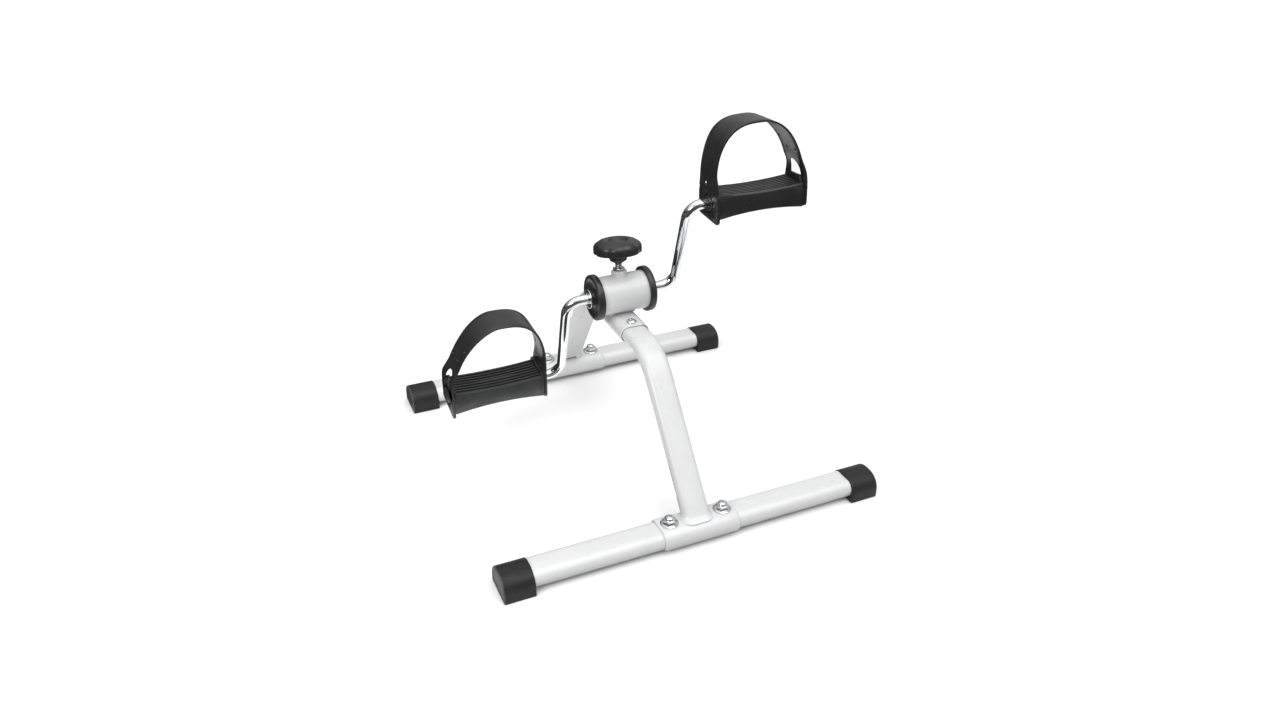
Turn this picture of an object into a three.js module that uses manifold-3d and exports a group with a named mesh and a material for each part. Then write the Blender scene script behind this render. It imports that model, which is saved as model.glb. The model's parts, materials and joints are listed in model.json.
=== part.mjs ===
// Pedal exerciser: two foot bars, a bent post and a bent leg meeting in a sleeve under a
// crank hub with a friction brake, a one-piece bent crank rod and two strapped pedals.
// Millimetres, +Z up, +X along the crank axle, +Y from the long post to the short leg.
import * as THREE from 'three';
import { mergeVertices } from 'three/addons/utils/BufferGeometryUtils.js';
import Module from 'manifold-3d';

const wasm = await Module();
wasm.setup();

// Fits
const GAP = 0.3;

// Foot bars and their rubber caps
const BAR_LENGTH = 430;
const BAR_SPACING = 372;
const BAR_WIDE = 35;
const BAR_THICK = 20;
const BAR_Z = 14;
const BAR_WALL = 1.6;
const CAP_WIDE = 41;
const CAP_TOP = 26.4;
const CAP_LENGTH = 33;
const CAP_END = 3;

// Saddle plates and their bolts
const SADDLE_LENGTH = 86;
const SADDLE_PLATE = 2;
const SADDLE_BOLT_X = 30.5;
const SADDLE_BOLT_R = 3.7;
const SADDLE_BOLT_RISE = 7;
const SADDLE_TOP = BAR_Z + BAR_THICK / 2 + GAP + SADDLE_PLATE;

// Post, leg and the sleeve that joins them
const LEG_WIDE = 30.5;
const LEG_THICK = 15.5;
const LEG_WALL = 1.6;
const LEG_BEND = 60;
const LEG_WELD = 2.4;
const SLEEVE_WALL = 1.6;
const SLEEVE_FRONT = -28;
const SLEEVE_REAR = 52;
const SLEEVE_BOLT_R = 3;
const SLEEVE_BOLT_INSET = 9;
const POST_CORNER = -73.5;
const LEG_CORNER = 95;

// Crank hub
const HUB_Y = 12;
const HUB_Z = 195;
const HUB_R = 21.5;
const HUB_WALL = 2.2;
const HUB_HALF = 31;
const HUB_CAP_R = 25.6;
const HUB_CAP_IN = 27;
const HUB_CAP_OUT = 34.5;
const RING_R = 11;

// Crank rod
const ROD_R = 5.6;
const CRANK_R = 107.5;
const CRANK_LEAN = -16.6;
const ARM_X = 64.5;
const ROD_END = 197.1;
const CRANK_SHIFT = 1.2;
const ROD_BEND = 16;
const ROD_SIDES = 16;

// Friction brake
const DRUM_R = 10;
const PAD_TOP = 13.5;
const SHOE_TOP = 15.8;
const SCREW_R = 4;
const TENSION_LEAN = 8.5;
const BOSS_TOP = 221.6;
const BOSS_WIDE = 15.6;
const BOSS_TURN = 42;
const JAM_TOP = 224.4;
const JAM_WIDE = 13;
const JAM_TURN = 15;
const KNOB_BOSS = 230;
const KNOB_LOW = 241.8;
const KNOB_TOP = 256.2;
const KNOB_R = 26.2;
const KNOB_LOBE = 0.5;
const KNOB_LOBES = 8;
const INSERT_R = 9.6;
const INSERT_TOP = 254.6;
const KNOB_PHASE = 202;

// Pedals, measured outwards along the right hand spindle
const PEDAL_IN = 88;
const PEDAL_OUT = 198;
const STRAP_PLATE = 3;
const BODY_PLATE = 3;
const STRAP_BAND = 2.3;
const STRAP_HEIGHT = 86.5;
const STRAP_PEAK = 140;
const STRAP_POWER_IN = 3;
const STRAP_BULGE = 2.2;
const LEFT_STRAP_POWER = 1.74;
const RIGHT_STRAP_POWER = 2.06;
const STRAP_HALF = 20;
const STRAP_WAIST = 17.5;
const STRAP_BASE = 22;
const TREAD_HALF = 20;
const TREAD_TOP = 12.8;
const TREAD_BOTTOM = -14.5;
const TREAD_DISH = 2.6;
const TREAD_ARCH = 4;
const TREAD_RIBS = 7;
const BUSH_R = 8;
const LEFT_TILT = -3.5;
const RIGHT_TILT = 3.5;

const rad = THREE.MathUtils.degToRad;

// Materials
function finish(color, roughness, metalness) {
  return new THREE.MeshStandardMaterial({ color, roughness, metalness });
}
const WHITE = finish(0xf1f2f3, 0.35, 0);
const CHROME = finish(0xd9dbde, 0.1, 1);
const ZINC = finish(0xbfc3c8, 0.3, 1);
const STEEL = finish(0x8b8f94, 0.4, 1);
const RUBBER = finish(0x2d2e30, 0.85, 0);
const BLACK = finish(0x1b1c1e, 0.5, 0);
const NYLON = finish(0x1c1c1c, 0.5, 0);
const FELT = finish(0x6d5a44, 0.9, 0);

// A closed body from points and triangles, turned outwards if it came out inside out
function solid(points, faces) {
  const geometry = new THREE.BufferGeometry();
  geometry.setAttribute('position', new THREE.Float32BufferAttribute(points.flat(), 3));
  let volume = 0;
  for (const [a, b, c] of faces) {
    const [p, q, r] = [points[a], points[b], points[c]];
    volume += p[0] * (q[1] * r[2] - q[2] * r[1]);
    volume += p[1] * (q[2] * r[0] - q[0] * r[2]);
    volume += p[2] * (q[0] * r[1] - q[1] * r[0]);
  }
  const outward = volume > 0 ? faces : faces.map(([a, b, c]) => [a, c, b]);
  geometry.setIndex(outward.flat());
  return geometry;
}

// Rings of equal count skinned together: as a loop, or with both end rings filled in
function skin(rings, outline) {
  const count = rings[0].length;
  const points = rings.flat();
  const faces = [];
  const spans = outline ? rings.length - 1 : rings.length;
  for (let i = 0; i < spans; i += 1) {
    const a = i * count;
    const b = ((i + 1) % rings.length) * count;
    for (let j = 0; j < count; j += 1) {
      const k = (j + 1) % count;
      faces.push([a + j, b + j, b + k], [a + j, b + k, a + k]);
    }
  }
  if (outline) {
    const flat = outline.map(([u, v]) => new THREE.Vector2(u, v));
    const last = (rings.length - 1) * count;
    const turn = THREE.ShapeUtils.isClockWise(flat) ? -1 : 1;
    for (const [a, b, c] of THREE.ShapeUtils.triangulateShape(flat, [])) {
      const [p, q] = turn > 0 ? [b, c] : [c, b];
      faces.push([a, p, q], [last + a, last + q, last + p]);
    }
  }
  return solid(points, faces);
}

// A (y, z) outline drawn out along X
function prismX(outline, x0, x1) {
  return skin([x0, x1].map((x) => outline.map(([y, z]) => [x, y, z])), outline);
}

// A (radius, height) profile turned about Z; it closes on itself or ends on the axis
function revolve(profile, segments) {
  const points = [];
  const rows = profile.map(([r, h]) => {
    const row = [];
    for (let i = 0; i < (r > 0 ? segments : 1); i += 1) {
      const a = (2 * Math.PI * i) / segments;
      row.push(points.length);
      points.push([r * Math.cos(a), r * Math.sin(a), h]);
    }
    return row;
  });
  const faces = [];
  const closed = profile[0][0] > 0;
  for (let i = 0; i < rows.length - (closed ? 0 : 1); i += 1) {
    const low = rows[i];
    const high = rows[(i + 1) % rows.length];
    for (let j = 0; j < segments; j += 1) {
      const k = (j + 1) % segments;
      if (low.length > 1) {
        faces.push([low[j], low[k], high[k % high.length]]);
      }
      if (high.length > 1) {
        faces.push([low[j % low.length], high[k], high[j]]);
      }
    }
  }
  return solid(points, faces);
}

// The same profile turned about X, with heights measured along X
function revolveX(profile, segments) {
  return revolve(profile, segments).rotateY(Math.PI / 2);
}

function cylinder(r, z0, z1, segments = 20) {
  return revolve([[0, z0], [r, z0], [r, z1], [0, z1]], segments);
}

function cylinderX(r, x0, x1, segments = 20) {
  return revolveX([[0, x0], [r, x0], [r, x1], [0, x1]], segments);
}

function box(x0, x1, y0, y1, z0, z1) {
  return prismX([[y0, z0], [y1, z0], [y1, z1], [y0, z1]], x0, x1);
}

function toManifold(geometry) {
  const merged = mergeVertices(geometry.clone(), 1e-5);
  return new wasm.Manifold(new wasm.Mesh({
    numProp: 3,
    vertProperties: new Float32Array(merged.attributes.position.array),
    triVerts: new Uint32Array(merged.index.array),
  }));
}

function fromManifold(body) {
  const mesh = body.getMesh();
  const geometry = new THREE.BufferGeometry();
  geometry.setAttribute('position', new THREE.BufferAttribute(mesh.vertProperties, 3));
  geometry.setIndex(new THREE.BufferAttribute(mesh.triVerts, 1));
  return geometry;
}

function join(...geometries) {
  return fromManifold(geometries.map(toManifold).reduce((a, b) => a.add(b)));
}

function cut(geometry, ...tools) {
  return fromManifold(tools.map(toManifold).reduce((a, b) => a.subtract(b), toManifold(geometry)));
}

// Flat oval outline: straight sides joined by half circles
function flatOval(wide, thick, steps = 7) {
  const r = thick / 2;
  const flat = wide / 2 - r;
  const outline = [];
  for (const side of [1, -1]) {
    for (let i = 0; i <= steps; i += 1) {
      const a = Math.PI * (i / steps - 0.5);
      outline.push([side * (flat + r * Math.cos(a)), side * r * Math.sin(a)]);
    }
  }
  return outline;
}

function hexagon(acrossFlats) {
  const r = acrossFlats / Math.sqrt(3);
  return [0, 1, 2, 3, 4, 5].map((i) => [r * Math.cos(rad(60 * i)), r * Math.sin(rad(60 * i))]);
}

function hexPrism(acrossFlats, z0, z1) {
  const outline = hexagon(acrossFlats);
  return skin([z0, z1].map((z) => outline.map(([x, y]) => [x, y, z])), outline);
}

const root = new THREE.Group();
root.name = 'pedal_exerciser';

function add(name, geometry, material) {
  const bare = new THREE.BufferGeometry();
  bare.setAttribute('position', geometry.getAttribute('position'));
  bare.setIndex(geometry.getIndex());
  const mesh = new THREE.Mesh(bare.toNonIndexed(), material);
  mesh.geometry.computeVertexNormals();
  mesh.name = name;
  root.add(mesh);
}

// Foot bar: flat oval tube with bolt holes through both walls
function footBar(y) {
  const end = BAR_LENGTH / 2 - CAP_END - GAP;
  const ring = (outline, x) => outline.map(([u, v]) => [x, y + u, BAR_Z + v]);
  const outer = flatOval(BAR_WIDE, BAR_THICK);
  const inner = flatOval(BAR_WIDE - 2 * BAR_WALL, BAR_THICK - 2 * BAR_WALL);
  const tube = skin([ring(outer, -end), ring(outer, end), ring(inner, end), ring(inner, -end)]);
  const holes = [-SADDLE_BOLT_X, SADDLE_BOLT_X].map((x) => (
    cylinder(SADDLE_BOLT_R + GAP, 0, 40, 12).translate(x, y, 0)
  ));
  return cut(tube, ...holes);
}

// Foot cap outline: flat sole, upright lower sides and an arched top
function capOutline() {
  const half = CAP_WIDE / 2;
  const shoulder = 7;
  const outline = [[-half + 1.2, 0], [half - 1.2, 0], [half, 1.6]];
  for (let i = 0; i <= 14; i += 1) {
    const a = (Math.PI * i) / 14;
    const c = Math.cos(a);
    const y = half * Math.sign(c) * Math.abs(c) ** 0.84;
    outline.push([y, shoulder + (CAP_TOP - shoulder) * Math.sin(a) ** 0.84]);
  }
  outline.push([-half, 1.6]);
  return outline;
}

// Rubber foot cap on the right hand end of a bar, closed at its outer end
function footCap(y, side) {
  const end = BAR_LENGTH / 2;
  const outline = capOutline();
  const shrunk = outline.map(([u, v]) => [u * 0.965, 0.5 + (v - 0.5) * 0.965]);
  const ring = (points, x) => points.map(([u, v]) => [side * x, y + u, v]);
  const shell = skin(
    [ring(outline, end - CAP_LENGTH), ring(outline, end - 1), ring(shrunk, end)],
    outline,
  );
  const socket = flatOval(BAR_WIDE + 2 * GAP, BAR_THICK + 2 * GAP).map(([u, v]) => [y + u, BAR_Z + v]);
  return cut(shell, prismX(socket, side * (end - CAP_LENGTH - 1), side * (end - CAP_END)));
}

// Saddle plate: sheet formed over the top and sides of a foot bar
function saddlePlate(y) {
  const flat = (BAR_WIDE - BAR_THICK) / 2;
  const inner = BAR_THICK / 2 + GAP;
  const arc = (r, from, to, centre) => {
    const run = [];
    for (let i = 0; i <= 10; i += 1) {
      const a = rad(from + ((to - from) * i) / 10);
      run.push([y + centre + r * Math.cos(a), BAR_Z + r * Math.sin(a)]);
    }
    return run;
  };
  const outside = [...arc(inner + SADDLE_PLATE, -38, 90, flat), ...arc(inner + SADDLE_PLATE, 90, 218, -flat)];
  const inside = [...arc(inner, 218, 90, -flat), ...arc(inner, 90, -38, flat)];
  const plate = prismX([...outside, ...inside], -SADDLE_LENGTH / 2, SADDLE_LENGTH / 2);
  const holes = [-SADDLE_BOLT_X, SADDLE_BOLT_X].map((x) => (
    cylinder(SADDLE_BOLT_R + GAP, 20, 40, 12).translate(x, y, 0)
  ));
  return cut(plate, ...holes);
}

// Low round headed bolt up through a foot bar, head below
function saddleBolt() {
  const top = SADDLE_TOP + SADDLE_BOLT_RISE;
  const under = BAR_Z - BAR_THICK / 2 - GAP;
  return revolve(
    [[0, 1.3], [5, 1.3], [7, 2.4], [7, under], [SADDLE_BOLT_R, under], [SADDLE_BOLT_R, top], [0, top]],
    16,
  );
}

function saddleWasher() {
  const z = SADDLE_TOP + GAP;
  const r = SADDLE_BOLT_R + GAP;
  return revolve([[r, z], [9.6, z], [9.6, z + 0.8], [8.8, z + 1.5], [r, z + 1.5]], 20);
}

// Domed cap nut
function saddleNut() {
  const z = SADDLE_TOP + 2 * GAP + 1.5;
  const hex = hexPrism(12, z, z + 4.2);
  const dome = revolve(
    [[0, z + 3.8], [5.4, z + 3.8], [5.4, z + 4.4], [4.7, z + 5.9], [3.2, z + 7], [1.5, z + 7.4],
      [0, z + 7.5]],
    16,
  );
  return cut(join(hex, dome), cylinder(SADDLE_BOLT_R + GAP, z - 1, SADDLE_TOP + SADDLE_BOLT_RISE + GAP, 12));
}

// Bent flat oval tube from the sleeve down to a saddle, with its weld at the foot
function bentLeg(startY, cornerY, footY, boltY) {
  const side = Math.sign(footY - cornerY);
  const footZ = SADDLE_TOP + GAP;
  const drop = Math.atan2(sleeveZ() - footZ, Math.abs(footY - cornerY));
  const tangent = LEG_BEND * Math.tan(drop / 2);
  const bendY = cornerY - side * tangent;
  const sections = [[startY, sleeveZ(), 0, 1, 0]];
  for (let i = 0; i <= 10; i += 1) {
    const a = (drop * i) / 10;
    const y = bendY + side * LEG_BEND * Math.sin(a);
    sections.push([y, sleeveZ() - LEG_BEND * (1 - Math.cos(a)), a, 1, 0]);
  }
  for (const [rise, grow] of [[5, 0], [3, LEG_WELD * 0.35], [1, LEG_WELD * 0.8], [0, LEG_WELD]]) {
    const y = footY - (side * rise) / Math.tan(drop);
    sections.push([y, footZ + rise, Math.PI / 2, 1 / Math.sin(drop), grow]);
  }
  const ring = (section, inset) => {
    const [y, z, a, stretch, grow] = section;
    const spread = 2 * (inset > 0 ? -inset : grow);
    const outline = flatOval(LEG_WIDE + spread, LEG_THICK + spread);
    return outline.map(([u, v]) => [
      u,
      y + side * v * stretch * Math.sin(a),
      z + v * stretch * Math.cos(a),
    ]);
  };
  const outer = sections.map((section) => ring(section, 0));
  const inner = sections.map((section) => ring(section, LEG_WALL)).reverse();
  return cut(skin([...outer, ...inner]), cylinder(SLEEVE_BOLT_R + GAP, 140, 190, 14).translate(0, boltY, 0));
}

function sleeveThick() {
  return LEG_THICK + 2 * GAP + 2 * SLEEVE_WALL;
}

// Height of the sleeve axis: the sleeve hangs just under the hub tube
function sleeveZ() {
  return HUB_Z - HUB_R - GAP - sleeveThick() / 2;
}

// Level flat oval sleeve under the hub
function sleeve() {
  const ring = (outline, y) => outline.map(([u, v]) => [u, y, sleeveZ() + v]);
  const outer = flatOval(LEG_WIDE + 2 * GAP + 2 * SLEEVE_WALL, sleeveThick());
  const inner = flatOval(LEG_WIDE + 2 * GAP, LEG_THICK + 2 * GAP);
  const tube = skin([
    ring(outer, SLEEVE_FRONT),
    ring(outer, SLEEVE_REAR),
    ring(inner, SLEEVE_REAR),
    ring(inner, SLEEVE_FRONT),
  ]);
  const holes = [SLEEVE_FRONT + SLEEVE_BOLT_INSET, SLEEVE_REAR - SLEEVE_BOLT_INSET].map((y) => (
    cylinder(SLEEVE_BOLT_R + GAP, 140, 190, 14).translate(0, y, 0)
  ));
  return cut(tube, ...holes);
}

// Button headed bolt down through the sleeve
function sleeveBolt() {
  const top = sleeveZ() + sleeveThick() / 2 + GAP;
  const end = sleeveZ() - sleeveThick() / 2 - 7;
  return revolve(
    [[0, end], [SLEEVE_BOLT_R, end], [SLEEVE_BOLT_R, top], [5.6, top], [5.6, top + 0.9],
      [4.4, top + 2.4], [2.2, top + 3.2], [0, top + 3.4]],
    18,
  );
}

function sleeveNut() {
  const top = sleeveZ() - sleeveThick() / 2 - GAP;
  return cut(hexPrism(10, top - 5, top), cylinder(SLEEVE_BOLT_R + GAP, top - 6, top + 1, 14));
}

// Turns a tension part built on the Z axis back round the hub axis to the lean of the tension screw
function leaned(geometry) {
  geometry.translate(0, 0, -HUB_Z);
  geometry.rotateX(-rad(TENSION_LEAN));
  return geometry.translate(0, HUB_Y, HUB_Z);
}

// Hub tube with the screw hole in its top
function hubTube() {
  const inner = HUB_R - HUB_WALL;
  const tube = revolveX([[inner, -HUB_HALF], [HUB_R, -HUB_HALF], [HUB_R, HUB_HALF], [inner, HUB_HALF]], 36);
  const hole = leaned(cylinder(SCREW_R + 0.6, HUB_Z, HUB_Z + 40, 16));
  return cut(tube.translate(0, HUB_Y, HUB_Z), hole);
}

// Dished end cap wrapping the rim of the hub tube
function hubCap(side) {
  const r = HUB_R + GAP;
  const face = HUB_HALF + GAP;
  const cap = revolveX(
    [[ROD_R + 0.7, face], [r, face], [r, HUB_CAP_IN], [HUB_CAP_R - 0.9, HUB_CAP_IN],
      [HUB_CAP_R, HUB_CAP_IN + 0.9], [HUB_CAP_R, HUB_CAP_OUT - 1.4], [HUB_CAP_R - 1.2, HUB_CAP_OUT - 0.2],
      [HUB_CAP_R - 3, HUB_CAP_OUT], [HUB_CAP_R - 5.5, HUB_CAP_OUT - 0.4],
      [HUB_CAP_R - 8, face + 1.4], [8.4, face + 1.4], [8.4, HUB_CAP_OUT + 2.2], [8, HUB_CAP_OUT + 2.6],
      [ROD_R + 0.7, HUB_CAP_OUT + 2.6]],
    28,
  );
  return cap.rotateZ(side < 0 ? Math.PI : 0).translate(0, HUB_Y, HUB_Z);
}

// Plain bush carrying the rod inside one end of the hub
function hubBush(side) {
  const r = HUB_R - HUB_WALL - GAP;
  const bore = ROD_R + GAP;
  return revolveX([[bore, side * 17], [r, side * 17], [r, side * 30.7], [bore, side * 30.7]], 28)
    .translate(0, HUB_Y, HUB_Z);
}

// Push-on ring holding the rod endways, in the dish of the hub cap
function rodRing(side) {
  const x = side * (HUB_CAP_OUT + 2.9);
  const bore = ROD_R + GAP;
  const face = x + side * 1.4;
  return revolveX([[bore, x], [RING_R, x], [RING_R, x + side * 0.8], [RING_R - 0.8, face], [bore, face]], 24)
    .translate(0, HUB_Y, HUB_Z);
}

function brakeDrum() {
  const bore = ROD_R + GAP;
  return revolveX([[bore, -13], [DRUM_R, -13], [DRUM_R, 13], [bore, 13]], 28).translate(0, HUB_Y, HUB_Z);
}

// Friction pad saddled over the drum
function brakePad() {
  const block = box(-12, 12, -9, 9, 4, PAD_TOP);
  return leaned(cut(block, cylinderX(DRUM_R + GAP, -20, 20, 28)).translate(0, 0, HUB_Z));
}

function pressureShoe() {
  return leaned(box(-12, 12, -7.5, 7.5, HUB_Z + PAD_TOP + GAP, HUB_Z + SHOE_TOP));
}

// Hexagonal boss on the hub, shaped to the tube below it
function tensionBoss() {
  const low = BOSS_TOP - 12;
  const block = hexPrism(BOSS_WIDE, low, BOSS_TOP).rotateZ(rad(BOSS_TURN));
  const bored = cut(block, cylinder(SCREW_R + 0.5, low - 1, BOSS_TOP + 1, 18));
  return cut(leaned(bored), cylinderX(HUB_R + GAP, -40, 40, 40).translate(0, HUB_Y, HUB_Z));
}

function jamNut() {
  const z = BOSS_TOP + GAP;
  const nut = hexPrism(JAM_WIDE, z, JAM_TOP).rotateZ(rad(JAM_TURN));
  return leaned(cut(nut, cylinder(SCREW_R + GAP, z - 1, JAM_TOP + 1, 18)));
}

function tensionScrew() {
  const tip = HUB_Z + SHOE_TOP + 2 * GAP;
  const top = KNOB_LOW + 3;
  return leaned(revolve([[0, tip], [3, tip], [SCREW_R, tip + 1.2], [SCREW_R, top], [0, top]], 18));
}

// Lobed hand knob over a tapered boss, bored for the screw and dished for its insert
function knob() {
  const steps = 64;
  const outline = (scale, lobe) => {
    const run = [];
    for (let i = 0; i < steps; i += 1) {
      const a = (2 * Math.PI * i) / steps;
      const notch = ((1 - Math.cos(KNOB_LOBES * a)) / 2) ** 3;
      const r = KNOB_R * scale + lobe * (1 - 2 * notch);
      run.push([r * Math.cos(a + rad(KNOB_PHASE)), r * Math.sin(a + rad(KNOB_PHASE))]);
    }
    return run;
  };
  const levels = [
    [0, 0.955, 0.6], [0.7, 1, 1], [5.4, 1, 1], [8, 0.983, 1], [9.9, 0.94, 1], [11.6, 0.865, 0.7],
    [13, 0.765, 0.3], [13.9, 0.66, 0], [14.4, 0.56, 0], [13.9, 0.46, 0], [12.8, 0.39, 0],
  ];
  const rings = levels.map(([h, scale, lobe]) => (
    outline(scale, lobe * KNOB_LOBE).map(([x, y]) => [x, y, KNOB_LOW + h])
  ));
  const head = skin(rings, outline(0.6, 0));
  const boss = revolve(
    [[0, KNOB_BOSS], [4.9, KNOB_BOSS], [5.4, KNOB_BOSS + 0.4], [9, KNOB_BOSS + 2.6], [10, KNOB_BOSS + 4.2],
      [10.6, KNOB_BOSS + 8], [12, KNOB_LOW - 0.8], [14, KNOB_LOW + 0.4], [0, KNOB_LOW + 0.8]],
    28,
  );
  const bore = cylinder(SCREW_R + GAP, KNOB_BOSS - 1, KNOB_LOW + 3 + GAP, 18);
  const dish = cylinder(INSERT_R + GAP, INSERT_TOP - 1.4, KNOB_TOP + 2, 28);
  return leaned(cut(join(head, boss), bore, dish));
}

function knobInsert() {
  const z = INSERT_TOP - 1.1;
  const disc = [[0, z], [INSERT_R, z], [INSERT_R, z + 0.6], [INSERT_R - 0.8, z + 1.1], [0, z + 0.9]];
  return leaned(revolve(disc, 28));
}

// Crank rod: one round bar bent four times in a plane through the hub axis
function crankRod() {
  const corners = [[-ROD_END, -1], [-ARM_X, -1], [-ARM_X, 0], [ARM_X, 0], [ARM_X, 1], [ROD_END, 1]]
    .map(([x, s]) => new THREE.Vector2(x, s * CRANK_R));
  const path = [];
  for (let i = 0; i < corners.length; i += 1) {
    if (i === 0 || i === corners.length - 1) {
      const along = corners[i ? i - 1 : 1].clone().sub(corners[i]).normalize();
      path.push({ at: corners[i], way: i ? along.negate() : along });
      continue;
    }
    const into = corners[i].clone().sub(corners[i - 1]).normalize();
    const out = corners[i + 1].clone().sub(corners[i]).normalize();
    const centre = corners[i].clone().addScaledVector(into, -ROD_BEND).addScaledVector(out, ROD_BEND);
    for (let j = 0; j <= 7; j += 1) {
      const a = (Math.PI / 2) * (j / 7);
      const at = centre.clone();
      at.addScaledVector(out, -ROD_BEND * Math.cos(a)).addScaledVector(into, ROD_BEND * Math.sin(a));
      const way = into.clone().multiplyScalar(Math.cos(a)).addScaledVector(out, Math.sin(a));
      path.push({ at, way });
    }
  }
  const lean = rad(CRANK_LEAN);
  const place = (x, s, q) => [
    x + CRANK_SHIFT,
    HUB_Y + s * Math.sin(lean) + q * Math.cos(lean),
    HUB_Z + s * Math.cos(lean) - q * Math.sin(lean),
  ];
  const ring = ({ at, way }, r) => {
    const run = [];
    for (let i = 0; i < ROD_SIDES; i += 1) {
      const a = (2 * Math.PI * i) / ROD_SIDES;
      const off = r * Math.cos(a);
      run.push(place(at.x - way.y * off, at.y + way.x * off, r * Math.sin(a)));
    }
    return run;
  };
  const tip = (end, by) => ({ at: end.at.clone().addScaledVector(end.way, by), way: end.way });
  const first = path[0];
  const last = path[path.length - 1];
  const rings = [ring(tip(first, 0), ROD_R - 0.8), ring(tip(first, 0.8), ROD_R)];
  path.slice(1, -1).forEach((stop) => rings.push(ring(stop, ROD_R)));
  rings.push(ring(tip(last, -0.8), ROD_R), ring(last, ROD_R - 0.8));
  const outline = [];
  for (let i = 0; i < ROD_SIDES; i += 1) {
    const a = (2 * Math.PI * i) / ROD_SIDES;
    outline.push([Math.cos(a), Math.sin(a)]);
  }
  return skin(rings, outline);
}

// End plate outline: rounded corners over a lower edge that slants from one side to the other
function plateOutline(half, top, lowFront, lowBack) {
  return [
    [4 - half, lowFront], [1.2 - half, lowFront + 1.2], [-half, lowFront + 4], [-half, top - 8],
    [3 - half, top], [half - 3, top],
    [half, top - 8], [half, lowBack + 4], [half - 1.2, lowBack + 1.2], [half - 4, lowBack],
  ].reverse();
}

// Pedal body: ribbed tread dished along its length, hollow below round a spindle barrel
function pedalBody() {
  const x0 = PEDAL_IN + STRAP_PLATE + GAP;
  const x1 = PEDAL_OUT - STRAP_PLATE - GAP;
  const mid = (x0 + x1) / 2;
  const half = (x1 - x0) / 2;
  const section = (x) => {
    const bow = 1 - ((x - mid) / half) ** 2;
    const top = TREAD_TOP - TREAD_DISH * bow;
    const low = TREAD_BOTTOM + TREAD_ARCH * bow;
    const run = [
      [-TREAD_HALF + 1, low], [-TREAD_HALF, low + 1], [-TREAD_HALF, top - 1.4], [-TREAD_HALF + 1, top],
    ];
    const pitch = 5;
    for (let i = 0; i < TREAD_RIBS; i += 1) {
      const y = (i - (TREAD_RIBS - 1) / 2) * pitch;
      run.push([y - 1.35, top], [y - 1.15, top - 2.5], [y + 1.15, top - 2.5], [y + 1.35, top]);
    }
    run.push([TREAD_HALF - 1, top], [TREAD_HALF, top - 1.4], [TREAD_HALF, low + 1], [TREAD_HALF - 1, low]);
    return run;
  };
  const stations = [];
  for (let i = 0; i <= 6; i += 1) {
    stations.push(x0 + 1 + ((2 * half - 2) * i) / 6);
  }
  const block = skin(stations.map((x) => section(x).map(([y, z]) => [x, y, z])), section(x0));
  const ear = (x) => cylinderX(7.5, x, x + BODY_PLATE, 20).translate(0, -9, 12.5);
  const peg = cylinderX(3, x0 - STRAP_PLATE - 1, x1 + STRAP_PLATE + 1, 16).translate(0, -9, 12.5);
  const hollow = box(x0 + 5, x1 - 5, -17.6, 17.6, -30, 6.6);
  const pegGap = box(x0 + BODY_PLATE, x1 - BODY_PLATE, -20, 0, 6.8, 40);
  const barrel = cylinderX(BUSH_R + 1.9, x0 + 2, x1 - 2, 24);
  const webs = [0.28, 0.5, 0.72].map((part) => {
    const x = x0 + part * (x1 - x0);
    return box(x - 1, x + 1, -18, 18, -8, 7);
  });
  const ends = [[x0, 16.8], [x1 - BODY_PLATE, TREAD_TOP]].map(([x, top]) => (
    prismX(plateOutline(20.8, top, TREAD_BOTTOM, TREAD_BOTTOM), x, x + BODY_PLATE)
  ));
  const pegs = cut(peg, pegGap);
  const frame = join(cut(block, hollow), barrel, ...webs, ...ends, ear(x0), ear(x1 - BODY_PLATE), pegs);
  return cut(
    frame,
    cylinderX(ROD_R + 0.8, x0 - 1, x1 + 1, 24),
    cylinderX(BUSH_R + GAP, x0 - 1, x0 + 14, 24),
    cylinderX(BUSH_R + GAP, x1 - 14, x1 + 1, 24),
  );
}

// Rises smoothly from 0 at height a to 1 at height b
function smooth(a, b, z) {
  const t = THREE.MathUtils.clamp((z - a) / (b - a), 0, 1);
  return t * t * (3 - 2 * t);
}

// Half width of the strap band at height z: waisted, spreading to the end plates and a little to the top
function strapHalf(z) {
  const base = (STRAP_BASE - STRAP_WAIST) * smooth(36, 12, z);
  const crown = (STRAP_HALF - STRAP_WAIST) * smooth(50, 86, z);
  return STRAP_WAIST + base + crown;
}

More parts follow.
